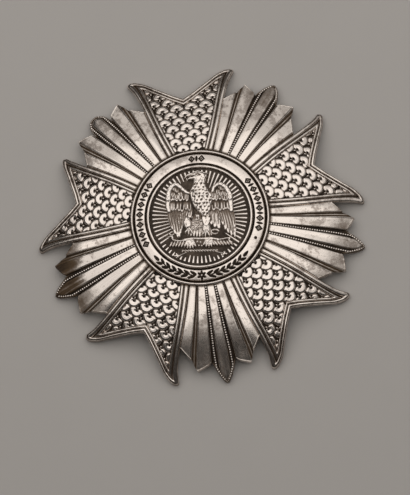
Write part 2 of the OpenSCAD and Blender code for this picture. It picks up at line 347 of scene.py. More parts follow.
@dataclass(frozen=True)
class NodeSheet:
    """Adds and joins the nodes of one tree."""

    tree: Tree

    def add(self, kind: str, sockets: dict[Any, Any] | None = None, **settings: Any) -> bpy.types.Node:
        """Adds a node.

        Args:
            kind: The node's type.
            sockets: A value or an output to join for each input, by the input's name or number.
            **settings: The node's own settings.

        Returns:
            The new node.
        """
        node = self.tree.nodes.new(kind)
        for name, value in settings.items():
            setattr(node, name, value)
        for name, value in (sockets or {}).items():
            self.feed(node.inputs[name], value)
        return node

    def feed(self, socket: Socket, value: Any) -> None:
        """Fills an input.

        Args:
            socket: The input.
            value: Its value, or the output that it is joined to.
        """
        if isinstance(value, Socket):
            self.tree.links.new(value, socket)
        else:
            socket.default_value = value

    def math(self, operation: str, *values: Any, clamp: bool = False) -> Socket:
        """Returns the output of a math node that works on the values."""
        node = self.add("ShaderNodeMath", dict(enumerate(values)), operation=operation, use_clamp=clamp)
        return node.outputs[0]

    def plus(self, first: Any, second: Any, clamp: bool = False) -> Socket:
        """Returns the sum of two values."""
        return self.math("ADD", first, second, clamp=clamp)

    def times(self, first: Any, second: Any) -> Socket:
        """Returns the product of two values."""
        return self.math("MULTIPLY", first, second)

    def length(self, vector: Socket) -> Socket:
        """Returns the length of a vector."""
        return self.add("ShaderNodeVectorMath", {0: vector}, operation="LENGTH").outputs["Value"]

    def noise(self, vector: Any, scale: Any, detail: float, rough: float = 0.55) -> Socket:
        """Returns the value of a noise texture."""
        sockets = {"Vector": vector, "Scale": scale, "Detail": detail, "Roughness": rough}
        return self.add("ShaderNodeTexNoise", sockets).outputs[0]

    def step(self, value: Any, low: Any, high: Any) -> Socket:
        """Returns a soft step of the value from low to high."""
        sockets = {"Value": value, "From Min": low, "From Max": high}
        return self.add("ShaderNodeMapRange", sockets, interpolation_type="SMOOTHSTEP").outputs[0]

    def blend(self, share: Any, first: Any, second: Any) -> Socket:
        """Mixes two colours.

        Args:
            share: How much of the second there is.
            first: An output, or three values.
            second: An output, or three values.

        Returns:
            The mixed colour.
        """
        node = self.add("ShaderNodeMix", {0: share}, data_type="RGBA")
        for number, value in ((6, first), (7, second)):
            self.feed(node.inputs[number], value if isinstance(value, Socket) else (*value, 1.0))
        return node.outputs[2]


class TreeKind(Enum):
    """The kinds of node group, and what each puts out."""

    SHAPES = ("GeometryNodeTree", "NodeSocketGeometry")
    SHADING = ("ShaderNodeTree", "NodeSocketFloat")


def new_tree(name: str, kind: TreeKind, inputs: dict[str, tuple[str, Any]], *outputs: str) -> Any:
    """Makes an empty node group with named sockets.

    Args:
        name: The group's name.
        kind: What it makes.
        inputs: For each input its kind of socket and its value, or None.
        *outputs: The names of its outputs.

    Returns:
        The tree, its sheet, and the sockets that hold its inputs and its outputs.
    """
    tree_type, output_type = kind.value
    tree = bpy.data.node_groups.new(name, tree_type)
    for title, (socket_kind, value) in inputs.items():
        socket = tree.interface.new_socket(title, in_out="INPUT", socket_type=f"NodeSocket{socket_kind}")
        if value is not None:
            socket.default_value = value
    for title in outputs:
        tree.interface.new_socket(title, in_out="OUTPUT", socket_type=output_type)
    sheet = NodeSheet(tree)
    return tree, sheet, sheet.add("NodeGroupInput").outputs, sheet.add("NodeGroupOutput").inputs


class Repeats:
    """The two Geometry Nodes trees that set small shapes out: over points, and along lines."""

    shared_inputs = {"Material": ("Material", None), "Size spread": ("Float", 0), "Seed": ("Int", SEED)}

    def __init__(self) -> None:
        """Builds both trees."""
        self._over_points()
        self._along_lines()

    def _over_points(self) -> None:
        """Builds the tree that puts a shape on each point, turned by "turn" and sized by "stretch"."""
        inputs = {"Points": ("Geometry", None), "Shape": ("Object", None), "Turn spread": ("Float", 0)}
        inputs |= self.shared_inputs
        tree, sheet, given, result = new_tree("shapes_over_points", TreeKind.SHAPES, inputs, "Geometry")
        shape = sheet.add("GeometryNodeObjectInfo", {"Object": given["Shape"]})
        turn = sheet.add("GeometryNodeInputNamedAttribute", {"Name": "turn"})
        stretch = sheet.add("GeometryNodeInputNamedAttribute", {"Name": "stretch"}, data_type="FLOAT_VECTOR")
        size = sheet.plus(1, self._spread(sheet, given["Size spread"], sheet.plus(given["Seed"], 0)))
        turn_more = self._spread(sheet, given["Turn spread"], sheet.plus(given["Seed"], 1))
        scale = sheet.add("ShaderNodeVectorMath", {0: stretch.outputs[0], "Scale": size}, operation="SCALE")
        rotation = sheet.add("ShaderNodeCombineXYZ", {"Z": sheet.plus(turn.outputs[0], turn_more)})
        copies = {"Points": given["Points"], "Instance": shape.outputs["Geometry"]}
        copies |= {"Rotation": rotation.outputs[0], "Scale": scale.outputs[0]}
        self._finish(sheet, copies, given["Material"], result[0])
        self.over_points = tree

    def _along_lines(self) -> None:
        """Builds the tree that sets beads at a pitch along the edges of a mesh."""
        inputs = {"Lines": ("Geometry", None), "Pitch": ("Float", 0.0006)}
        inputs |= {"Bead radius": ("Float", 0.0003), "Flatness": ("Float", 0.75), **self.shared_inputs}
        tree, sheet, given, result = new_tree("beads_along_lines", TreeKind.SHAPES, inputs, "Geometry")
        curve = sheet.add("GeometryNodeMeshToCurve", {"Mesh": given["Lines"]})
        sockets = {"Curve": curve.outputs[0], "Length": given["Pitch"]}
        even = sheet.add("GeometryNodeResampleCurve", sockets, mode="LENGTH")
        sockets = {"Segments": 8, "Rings": 6, "Radius": given["Bead radius"]}
        bead = sheet.add("GeometryNodeMeshUVSphere", sockets)
        size = sheet.plus(1, self._spread(sheet, given["Size spread"], given["Seed"]))
        low_bead = sheet.add("ShaderNodeCombineXYZ", {"X": size, "Y": size, "Z": given["Flatness"]})
        copies = {"Points": even.outputs[0], "Instance": bead.outputs["Mesh"], "Scale": low_bead.outputs[0]}
        self._finish(sheet, copies, given["Material"], result[0])
        self.along_lines = tree

    @staticmethod
    def _spread(sheet: NodeSheet, most: Socket, seed: Socket) -> Socket:
        """Returns a random value between minus the most and the most."""
        sockets = {2: sheet.times(most, -1), 3: most, "Seed": seed}
        return sheet.add("FunctionNodeRandomValue", sockets).outputs[1]

    @staticmethod
    def _finish(sheet: NodeSheet, copies: dict[str, Any], metal: Socket, result: Socket) -> None:
        """Puts copies on their points, realizes them and gives them their material.

        Args:
            sheet: The tree's sheet.
            copies: The inputs of the node that makes the copies.
            metal: Their material.
            result: The tree's output.
        """
        made = sheet.add("GeometryNodeInstanceOnPoints", copies)
        real = sheet.add("GeometryNodeRealizeInstances", {"Geometry": made.outputs[0]})
        sockets = {"Geometry": real.outputs[0], "Material": metal}
        sheet.feed(result, sheet.add("GeometryNodeSetMaterial", sockets).outputs[0])

    @staticmethod
    def settle(piece: Object, tree: Tree, values: dict[str, Any]) -> None:
        """Runs a tree on an object and leaves it the plain mesh that comes out, with no modifier.

        Args:
            piece: The object that carries the points or the lines.
            tree: The tree to run.
            values: A value for each named input.
        """
        named = {item.name: item.identifier for item in tree.interface.items_tree if item.in_out == "INPUT"}
        modifier = piece.modifiers.new("repeat", "NODES")
        modifier.node_group = tree
        for title, value in values.items():
            modifier[named[title]] = value
        depsgraph = bpy.context.evaluated_depsgraph_get()
        mesh = bpy.data.meshes.new_from_object(
            piece.evaluated_get(depsgraph), preserve_all_data_layers=True, depsgraph=depsgraph
        )
        piece.modifiers.clear()
        piece.data = mesh
        mesh.name = piece.name
        mesh.shade_smooth()

    def scatter(self, name: str, part: Part, layout: tuple[Array, Array, Array], **values: Any) -> Object:
        """Sets copies of a small part out over spots.

        Args:
            name: The name of the piece that they make.
            part: The part to copy.
            layout: Where each copy stands, its turn in radians, and how much longer, wider and higher it is.
            **values: The tree's other inputs, with low dashes for spaces.

        Returns:
            The piece as a plain mesh.
        """
        spots, turn, stretch = layout
        template = part.to_object(f"one_of_{name}")
        made = mesh_object(name, spots)
        write_layer(made, "turn", turn)
        write_layer(made, "stretch", stretch)
        inputs = {title.replace("_", " "): value for title, value in values.items()}
        self.settle(made, self.over_points, {"Shape": template, **inputs})
        bpy.data.objects.remove(template)
        return made


# Finishes


class Effects:
    """The shader groups that the finishes share."""

    def __init__(self) -> None:
        """Builds the three groups."""
        self._patina()
        self._mottle()
        self._hairlines()

    def _patina(self) -> None:
        """Builds the group that turns a share of recess into a broken edge of dark patina, which also paints
        the shade laid into that share.
        """
        inputs = {"Vector": ("Vector", None), "Recess": ("Float", 0)}
        inputs |= {"Start": ("Float", 0.35), "Full": ("Float", 0.85), "Breakup": ("Float", 0.25)}
        tree, sheet, given, result = new_tree("patina_in_recesses", TreeKind.SHADING, inputs, "Mask", "Thick")
        coarse = sheet.noise(given["Vector"], 260, 5, 0.6)
        fine = sheet.noise(given["Vector"], 1900, 3, 0.6)
        both = sheet.plus(coarse, sheet.times(fine, 0.6))
        uneven = sheet.times(sheet.math("SUBTRACT", both, 0.8), given["Breakup"])
        value = sheet.plus(given["Recess"], uneven)
        sheet.feed(result["Mask"], sheet.step(value, given["Start"], given["Full"]))
        sheet.feed(result["Thick"], sheet.step(value, 0.7, 1.08))
        self.patina = tree

    def _mottle(self) -> None:
        """Builds the group of cloudy tarnish, which grows towards the points partly as staining and partly as
        painted shade, and of small dark pits.
        """
        inputs = {"Vector": ("Vector", None), "Cloud scale": ("Float", 420)}
        inputs["Pit scale"] = ("Float", 1500)
        tree, sheet, given, result = new_tree("tarnish_clouds", TreeKind.SHADING, inputs, "Cloud", "Pits")
        place, scale = given["Vector"], given["Cloud scale"]
        wide = sheet.noise(place, sheet.times(scale, 0.25), 3)
        cloud = sheet.noise(place, scale, 6, 0.68)
        pits = sheet.noise(place, given["Pit scale"], 3, 0.7)
        # Growth towards the points: staining, with painted shade for the light that falls off there
        outward = sheet.times(sheet.step(sheet.length(place), 0.026, 0.046), 0.21)
        both = sheet.plus(sheet.plus(cloud, sheet.math("SUBTRACT", wide, 0.58)), outward)
        speckled = sheet.plus(both, sheet.times(sheet.math("SUBTRACT", pits, 0.5), 0.7))
        sheet.feed(result["Cloud"], sheet.step(speckled, 0.46, 0.72))
        sheet.feed(result["Pits"], sheet.step(pits, 0.6, 0.72))
        self.mottle = tree

    def _hairlines(self) -> None:
        """Builds the group of fine polishing lines, in two directions and outwards from the middle."""
        inputs = {"Vector": ("Vector", None), "Fineness": ("Float", 2600)}
        tree, sheet, given, result = new_tree("polishing_lines", TreeKind.SHADING, inputs, "Height", "Streak")
        place, fineness = given["Vector"], given["Fineness"]
        lines = []
        for turn in (0.4, 1.7):
            sockets = {"Vector": place, "Rotation": (0, 0, turn), "Scale": (0.04, 1, 1)}
            mapping = sheet.add("ShaderNodeMapping", sockets)
            lines.append(sheet.noise(mapping.outputs[0], fineness, 2, 0.6))
        grain = sheet.noise(place, 1500, 4, 0.6)
        parts = sheet.add("ShaderNodeSeparateXYZ", {"Vector": place})
        turned = sheet.math("ARCTAN2", parts.outputs["Y"], parts.outputs["X"])
        sockets = {"X": sheet.times(turned, 0.03), "Y": sheet.times(sheet.length(place), 0.07)}
        fan = sheet.add("ShaderNodeCombineXYZ", sockets)
        streak = sheet.noise(fan.outputs[0], fineness, 3, 0.65)
        height = sheet.plus(sheet.times(lines[0], lines[1]), sheet.times(grain, 0.6))
        sheet.feed(result["Height"], sheet.plus(height, streak))
        sheet.feed(result["Streak"], sheet.step(streak, 0.42, 0.7))
        self.hairlines = tree


@dataclass(frozen=True)
class SilverFinish:
    """Old silver: bright where it is rubbed and dark where polish never reaches.

    Attributes:
        name: The material's name.
        bright: Colour of the rubbed metal.
        tarnish: Colour of its cloudy tarnish, which also paints the shade towards the points.
        patina: Colour of the dirt in the recesses, and of the painted shade laid there.
        soot: Colour of the dirt where it is thickest, and of the darkest painted shadows.
        gloss: Roughness of the rubbed metal.
        cloud: How strong the cloudy tarnish is, with its painted shade towards the points.
        spots: How strong the dark flecks are.
        streaks: How strong the streaks outwards from the middle are.
        start: Share of recess at which the patina starts.
        full: Share of recess at which it covers.
        breakup: How uneven its edge is.
        relief: Height of the fine surface lines, in metres.
        duller: How much rougher the metal is under tarnish, and then under patina.
        bared: How much of the metal's mirror the patina takes.
    """

    name: str
    bright: Colour = (0.90, 0.82, 0.755)
    tarnish: Colour = (0.25, 0.2, 0.17)
    patina: Colour = (0.12, 0.077, 0.043)
    soot: Colour = (0.012, 0.007, 0.004)
    gloss: float = 0.2
    cloud: float = 0.2
    spots: float = 0.35
    streaks: float = 0.0
    start: float = 0.25
    full: float = 0.75
    breakup: float = 0.35
    relief: float = 0.000012
    duller: tuple[float, float] = (0.15, 0.3)
    bared: float = 0.85

    def material(self, effects: Effects) -> Material:
        """Builds the material.

        Args:
            effects: The shader groups that it uses.

        Returns:
            The new material.
        """
        made = bpy.data.materials.new(self.name)
        made.use_nodes = True
        sheet = NodeSheet(made.node_tree)
        shader = made.node_tree.nodes["Principled BSDF"].inputs
        place = {"Vector": sheet.add("ShaderNodeTexCoord").outputs["Object"]}
        recess = sheet.add("ShaderNodeAttribute", attribute_name="recess").outputs["Fac"]
        edge = {"Recess": recess, "Start": self.start, "Full": self.full, "Breakup": self.breakup}
        patina = self._group(sheet, effects.patina, place | edge)
        mottle = self._group(sheet, effects.mottle, place)
        lines = self._group(sheet, effects.hairlines, place)
        cloud, spots = sheet.times(mottle["Cloud"], self.cloud), sheet.times(mottle["Pits"], self.spots)
        streaks = sheet.times(lines["Streak"], self.streaks)
        dull = sheet.plus(sheet.math("MAXIMUM", cloud, spots), streaks, clamp=True)
        metal = sheet.blend(dull, self.bright, self.tarnish)
        dirt = sheet.blend(patina["Thick"], self.patina, self.soot)
        sheet.feed(shader["Base Color"], sheet.blend(patina["Mask"], metal, dirt))
        sheet.feed(shader["Metallic"], sheet.plus(1.0, sheet.times(patina["Mask"], -self.bared)))
        soft = sheet.plus(self.gloss, sheet.times(dull, self.duller[0]))
        rough = sheet.plus(soft, sheet.times(patina["Mask"], self.duller[1]), clamp=True)
        sheet.feed(shader["Roughness"], rough)
        shader["Specular IOR Level"].default_value = 0.2
        height = sheet.math("SUBTRACT", lines["Height"], mottle["Pits"])
        bump = sheet.add("ShaderNodeBump", {"Strength": 0.6, "Distance": self.relief, "Height": height})
        sheet.feed(shader["Normal"], bump.outputs[0])
        return made

    @staticmethod
    def _group(sheet: NodeSheet, tree: Tree, sockets: dict[str, Any]) -> Any:
        """Places a shared group in the material.

        Args:
            sheet: The material's sheet.
            tree: The group.
            sockets: What goes into its inputs.

        Returns:
            Its outputs.
        """
        node = sheet.add("ShaderNodeGroup", node_tree=tree)
        for title, value in sockets.items():
            sheet.feed(node.inputs[title], value)
        return node.outputs


@dataclass(frozen=True)
class PaperFinish:
    """The plain matt floor. Its darkest fibres have the darker share of its colour."""

    name: str = "pale_floor"
    colour: Colour = (0.607, 0.582, 0.555)
    darker: float = 0.965

    def material(self) -> Material:
        """Builds the floor's material.

        Returns:
            The new material, which is faintly uneven.
        """
        made = bpy.data.materials.new(self.name)
        made.use_nodes = True
        sheet = NodeSheet(made.node_tree)
        shader = made.node_tree.nodes["Principled BSDF"].inputs
        grain = sheet.noise(sheet.add("ShaderNodeTexCoord").outputs["Object"], 60.0, 5.0, 0.6)
        shade = tuple(self.darker * value for value in self.colour)
        sheet.feed(shader["Base Color"], sheet.blend(grain, self.colour, shade))
        shader["Roughness"].default_value = 0.9
        shader["Specular IOR Level"].default_value = 0.2
        return made


# Star plate


@dataclass(frozen=True)
class Arm:
    """One forked arm. Angles are from the arm's own axis, counterclockwise ones positive."""

    left_deg: float
    left_r: float
    notch_deg: float
    notch_r: float
    right_deg: float
    right_r: float


@dataclass(frozen=True)
class Bundle:
    """One bundle of five rays.

    Attributes:
        lean: How far the middle ray leans to its left, in degrees.
        reach: How far out the middle ray goes.
        blunt: 0 where its end is pointed and 1 where it is round.
        right: How far out the outer and the inner ray on its right go.
        left: The same on its left.
        end_stain_and_shade: How dark the rays' ends are, partly staining and partly painted shade for the
            light falling off there.
    """

    lean: float
    reach: float
    blunt: float
    right: Point
    left: Point
    end_stain_and_shade: float


@dataclass
class StarPlate:
    """The domed plate: five forked arms with a border, and five ray bundles.

    Attributes:
        dome: The dome that it follows.
        turn: Turn of the star against the upright eagle, in degrees.
        inner_r: Radius at which the relief starts, just outside the ring.
        side_deg: Angle from an arm's axis to its side at the ring.
        side_w: Width of the border along a side, at the ring.
        tip_w: Width of the border along a side, at the tip.
        notch_w: Width of the border along the notch.
        tip_round: Radius of the rounded tips.
        tip_more: How much farther out a tip would be if it were sharp.
        waist: How far an arm's side is drawn in half way out, in degrees.
        waist_r: Radius at which the sides aren't drawn in any more.
        fuller: How far an arm's end swells outwards beside its tip.
        panel_columns: Columns of points across each half of an arm's panel.
        panel_rows: Rows of points from the ring to the border along the notch.
        middle_deg: Half the angle that a middle ray and its bands of beads take.
    """

    dome: Dome
    turn: float = 8.4
    inner_r: float = 19.46
    side_deg: float = 18.3
    side_w: float = 2.3
    tip_w: float = 2.6
    notch_w: float = 1.8
    tip_round: float = 0.8
    tip_more: float = 0.75
    waist: float = 1.25
    waist_r: float = 45.5
    fuller: float = 0.85
    panel_columns: int = 16
    panel_rows: int = 44
    middle_deg: float = 4.3

    arms = (
        Arm(19.3, 46.4, -0.2, 35.9, 19.7, 46.1),
        Arm(18.7, 46.2, 0.1, 35.5, 18.8, 43.1),
        Arm(19.4, 46.6, 0.3, 35.1, 19.2, 45.6),
        Arm(19.6, 46.5, 0.7, 35.3, 19.4, 46.2),
        Arm(18.4, 45.7, 0.5, 35.3, 19.6, 45.9),
    )
    bundles = (
        Bundle(0.2, 43.6, 1, (38.4, 42.2), (38.8, 42.2), 0.22),
        Bundle(-1, 45.3, 0, (38.8, 42.5), (39.3, 42), 0.7),
        Bundle(0.5, 45.4, 0, (39.1, 42.1), (39.2, 42), 0.4),
        Bundle(1, 45.7, 0.1, (39.2, 42.4), (39.3, 42.4), 0.5),
        Bundle(0.7, 44.7, 0.3, (38.6, 41.8), (38.5, 41.7), 0.46),
    )
    # Share of the border's width from the cut edge, height over the panel, patina
    border = Profile((
        # Outer ridge
        (0, 0.1, 0.6), (0.02, 0.36, 0.15), (0.05, 0.6, 0), (0.1, 0.72, 0), (0.2, 0.78, 0),
        (0.32, 0.78, 0), (0.42, 0.72, 0), (0.47, 0.6, 0.1),
        # Groove
        (0.5, 0.3, 0.8), (0.54, 0.2, 1), (0.58, 0.22, 1), (0.61, 0.4, 0.4),
        # Inner ridge, and its foot on the panel
        (0.65, 0.62, 0), (0.74, 0.68, 0), (0.84, 0.66, 0), (0.91, 0.56, 0), (0.95, 0.3, 0.3),
        (0.98, 0.05, 1), (1, 0, 1),
    ))
    # Angle from the bundle's axis, height over the dome, patina
    rays = Profile((
        # Groove beside the middle ray's beads
        (3.6, 0.1, 0.9), (4.1, 0.06, 1), (4.4, 0.02, 1), (4.55, 0.1, 0.9),
        # Inner ray with its lip
        (4.7, 0.46, 0.1), (4.85, 0.52, 0), (5.4, 0.54, 0), (7, 0.58, 0), (8.8, 0.66, 0), (9.3, 0.68, 0),
        (9.45, 0.67, 0.15), (9.6, 0.76, 0), (9.85, 0.78, 0), (10, 0.66, 0.05), (10.2, 0.3, 0.6),
        # Groove with a low thread in it
        (10.45, 0.1, 0.95), (10.7, 0.14, 0.75), (10.95, 0.24, 0.35), (11.15, 0.2, 0.55),
        (11.4, 0.08, 0.95), (11.7, 0.12, 0.9),
        # Outer ray with its lip
        (11.9, 0.56, 0.3), (12.1, 0.82, 0), (12.4, 0.84, 0), (12.55, 0.79, 0.15), (12.7, 0.79, 0),
        (14.5, 0.7, 0), (16.3, 0.6, 0), (16.55, 0.56, 0),
        # Groove beside the arm
        (16.8, 0.34, 0.2), (17, 0.08, 0.9), (17.3, 0.06, 1), (17.6, 0.12, 0.7), (17.8, 0.04, 0.9),
        (18, 0, 1),
    ))
    # Distance back from a middle ray's apex and half its outline's width, for a pointed and for a round end
    pointed = ((0, 0), (0.25, 0.45), (0.7, 0.9), (1.3, 1.3), (2, 1.68), (3, 2.12), (4.2, 2.6), (5.4, 3.1))
    rounded = ((0, 0), (0.05, 0.6), (0.25, 1.2), (0.6, 1.7), (1, 2.05), (1.6, 2.4), (2.6, 2.75), (4, 3.1))
    # Distance back from a pointed middle ray's apex and half its leaf's width
    leaf = (
        *((0.8, 0), (1, 0.3), (1.4, 0.65), (2, 0.98), (3, 1.28), (4.5, 1.42)),
        *((8, 1.4), (14, 1.26), (26, 0.9)),
    )
    # Distance back from the apex and from the middle line to the beads
    bead_line = ((4, 2.15), (8, 2.1), (14, 1.82), (26, 1.3))
    # Distances to the cut end of a bundle's last rows of points
    bevel = (0.42, 0.34, 0.27, 0.2, 0.14, 0.09, 0.04, 0)

    def arm_axis(self, k: Any) -> Any:
        """Returns the directions of arms, in degrees."""
        return 90.0 + self.turn + 72.0 * k

    def bundle_axis(self, k: int) -> float:
        """Returns the direction of the bundle that follows an arm."""
        return self.arm_axis(k) + 36.0

    def waisted(self, plan: Array) -> Array:
        """Draws the arms' sides in between the ring and the tips, and swells their ends beside the tips.

        Args:
            plan: Places seen from above.

        Returns:
            The places after the two small moves.
        """
        distance = far(plan)
        angle = np.degrees(np.arctan2(plan[..., 1], plan[..., 0]))
        off = (angle - self.arm_axis(0) + 36) % 72.0 - 36.0
        near = table(np.abs(off), ((0, 0), (self.side_deg, 1), (36, 0)))
        out = np.clip((distance - self.inner_r) / (self.waist_r - self.inner_r), 0, 1)
        # The waist is deepest three quarters of the way out, where the curve's own height is 1 / 9.48
        shift = -np.sign(off) * self.waist * near * 9.48 * out**3 * (1 - out)
        across = np.abs(np.sin(np.radians(off))) * distance
        notch_line = 35.4 + 0.56 * across
        past = np.cos(np.radians(off)) * distance - notch_line
        swell = table(across, ((3, 0), (8, 0.4), (11, self.fuller), (13, 0.8 * self.fuller), (14.6, 0)))
        lifted = swell * smooth(past, -5, -0.5) * (np.abs(off) < 21)
        return polar(distance, angle + shift) + polar(lifted, angle - off)

    def side_columns(self, k: int, side: int) -> tuple[Array, Array, Array]:
        """Lays out the columns of one half of an arm's border.

        Args:
            k: The arm's number.
            side: 1 for its left half and -1 for its right half.

        Returns:
            The columns' base points, their end points, and the direction of the notch edge.
        """
        arm, axis = self.arms[k], self.arm_axis(k)
        reach, aside = (arm.left_r, arm.left_deg) if side > 0 else (arm.right_r, -arm.right_deg)
        tip = polar(reach + self.tip_more, axis + aside * (1 + 0.3 * self.tip_more / reach))
        along = unit(self.notch(k) - tip)
        slant = abs(cross2(along, unit(tip - polar(self.inner_r, axis + side * self.side_deg))))
        share = self.border.places
        width = np.degrees(self.side_w / self.inner_r)
        base = polar(self.inner_r, axis + side * (self.side_deg - share * width))
        return base, tip + along * (share * self.tip_w / slant)[:, None], along

    def notch(self, k: int) -> Array:
        """Returns the bottom of an arm's notch."""
        return polar(self.arms[k].notch_r, self.arm_axis(k) + self.arms[k].notch_deg)

    @staticmethod
    def spokes(base: Array, end: Array, steps: Array, border: Array) -> Array:
        """Lays out columns of points from their base to their end.

        Args:
            base: Where each column starts.
            end: Where it ends.
            steps: Shares of the way to the border along the end, one for each point before it.
            border: For each column, the border's width and then its points' distances from the end.

        Returns:
            The places, as columns by rows by two.
        """
        out = unit(end - base)[:, None]
        body = base[:, None] + (end - out[:, 0] * border[:, :1] - base)[:, None] * steps[:, None]
        return np.concatenate([body, end[:, None] - out * border[:, 1:, None]], 1)

    def arm_part(self, k: int) -> Part:
        """Builds one arm.

        Args:
            k: The arm's number.

        Returns:
            The arm as a closed part.
        """
        middle, notch, share = polar(self.inner_r, self.arm_axis(k)), self.notch(k), self.border.places
        fill = np.linspace(0, 1, self.panel_columns + 1)[1:, None]
        halves = []
        for side in (-1, 1):
            base, end, along = self.side_columns(k, side)
            base = unit(np.concatenate([base, base[-1] + (middle - base[-1]) * fill])) * self.inner_r
            end = np.concatenate([end, end[-1] + (notch - end[-1]) * fill])
            cut = np.concatenate([share, np.ones(self.panel_columns)])
            edge = np.tile(along, (len(cut), 1))
            order = slice(None) if side < 0 else slice(-2, None, -1)
            halves.append([column[order] for column in (base, end, cut, edge)])
        base, end, cut, edge = (np.concatenate(both) for both in zip(*halves))
        slant = np.maximum(0.3, np.abs(cross2(edge, unit(end - base))))
        back = share[-2::-1]
        border = np.concatenate([[1], back])[None] * self.notch_w / slant[:, None]
        plan = self.spokes(base, end, np.linspace(0, 1, self.panel_rows), border)
        plan = self.waisted(self.rounded_tips(k, plan))
        place = np.minimum(cut[:, None], np.concatenate([np.ones(self.panel_rows), back])[None])
        recess = self.darkened_by_ring(plan, self.border.recess(place))
        return shell(plan, self.border.height(place), recess, self.dome)

    def rounded_tips(self, k: int, plan: Array) -> Array:
        """Rounds an arm's two tips.

        Args:
            k: The arm's number.
            plan: Places seen from above, with sharp tips.

        Returns:
            The places, with those near a tip moved onto arcs about one centre.
        """
        for side in (-1, 1):
            base, end, along = self.side_columns(k, side)
            tip, down = end[0], unit(base[0] - end[0])
            half = math.acos(float(np.clip(down @ along, -1, 1))) / 2
            centre = tip + unit(down + along) * self.tip_round / math.sin(half)
            tangent = self.tip_round / math.tan(half)
            from_tip = plan - tip
            near = (from_tip @ down < tangent) & (from_tip @ along < tangent)
            depth = np.minimum(np.abs(cross2(from_tip, down)), np.abs(cross2(from_tip, along)))
            near &= depth < self.tip_round
            spoke = plan - centre
            length = np.maximum(np.linalg.norm(spoke, axis=-1), 1e-6)
            moved = centre + spoke / length[..., None] * (self.tip_round - depth)[..., None]
            plan = np.where(near[..., None], moved, plan)
        return plan

    @staticmethod
    def darkened_by_ring(plan: Array, recess: Array) -> Array:
        """Returns the patina with a darkening next to the ring added."""
        return np.maximum(recess, 0.75 * smooth(far(plan), 20.5, 19.6))

    def bundle_part(self, k: int) -> Part:
        """Builds one bundle of rays.

        Args:
            k: The number of the arm before it.

        Returns:
            The bundle as a closed part.
        """
        bundle, axis = self.bundles[k], self.bundle_axis(k)
        limit = 36.0 - self.side_deg
        half = np.unique(np.concatenate([self.rays.places, np.arange(0, 5, 0.22), [limit]]))
        half = half[half <= limit]
        angle = np.concatenate([-half[:0:-1], half])
        off = np.abs(angle)
        right, left = (self.reaches(off, bundle, rays) for rays in (bundle.right, bundle.left))
        lean = bundle.lean * table(off, ((0, 1), (5, 0.95), (limit, 0)))
        base = polar(self.inner_r, axis + angle)
        end = polar(np.where(angle < 0, right, left), axis + angle + lean)
        bevel = np.array(self.bevel)
        steps = np.concatenate([np.linspace(0, 0.7, 22), np.linspace(0.7, 1, 32, endpoint=False)[1:]])
        border = np.tile(np.concatenate([bevel[:1], bevel]), (len(end), 1))
        plan = self.spokes(base, end, steps, border)
        from_end = np.linalg.norm(end[:, None] - plan, axis=-1)
        from_end[:, len(steps) :] = bevel
        distance = far(plan)
        lift, recess = self.relief(off[:, None] + 0 * distance, distance, bundle, from_end)
        # The rays' darker ends: staining, with painted shade for the light that falls off there
        recess = np.maximum(recess, self.end_stain_and_shade(k, angle, distance))
        plan = self.waisted(plan)
        return shell(plan, lift, self.darkened_by_ring(plan, recess), self.dome)

    def end_stain_and_shade(self, k: int, angle: Array, distance: Array) -> Array:
        """Works out the dark ends of a bundle's rays, partly staining and partly painted shade.

        Args:
            k: The bundle's number.
            angle: The columns' angles from its axis.
            distance: The points' distances from the star's middle.

        Returns:
            Shares of stain and painted shade, uneven from ray to ray and from column to column.
        """
        rng = np.random.default_rng(SEED + 20 + k)
        outer_ray = 10.9
        ray = np.digitize(angle, [-outer_ray, -self.middle_deg, self.middle_deg, outer_ray])
        level = (rng.uniform(0.75, 1.15, 5)[ray] * rng.uniform(0.75, 1.2, len(angle)))[:, None]
        start = rng.uniform(26, 32, 5)[ray][:, None]
        return self.bundles[k].end_stain_and_shade * level * smooth((distance - start) / (40.5 - start), 0, 1)

    def lens(self, blunt: float) -> Array:
        """Returns rows of distance back from a middle ray's apex and half its outline's width."""
        pointed = np.array(self.pointed)
        return pointed + (np.array(self.rounded) - pointed) * blunt

    def reaches(self, angle: Array, bundle: Bundle, rays: Point) -> Array:
        """Works out the cut end of one half of a bundle.

        Args:
            angle: Angles from its axis, all positive.
            bundle: The bundle.
            rays: How far out that half's outer and inner ray go.

        Returns:
            How far out the plate goes at each angle.
        """
        outer, inner = rays
        lens = self.lens(bundle.blunt)
        lens_deg = np.degrees(lens[:, 1] / (bundle.reach - lens[:, 0]))
        rows = (
            *((float(d), float(bundle.reach - back)) for d, back in zip(lens_deg, lens[:, 0]) if d < 4),
            (4.4, min(bundle.reach - 5, inner - 2.3)),
            *((4.7, inner - 2.2), (5.1, inner - 1.7), (9.8, inner), (10.1, inner - 0.5)),
            (11, (outer + inner) / 2 - 0.2),
            *((11.8, outer - 0.2), (12.2, outer), (16.3, outer - 2.5), (17.7, outer - 3.1)),
        )
        return table(angle, rows)

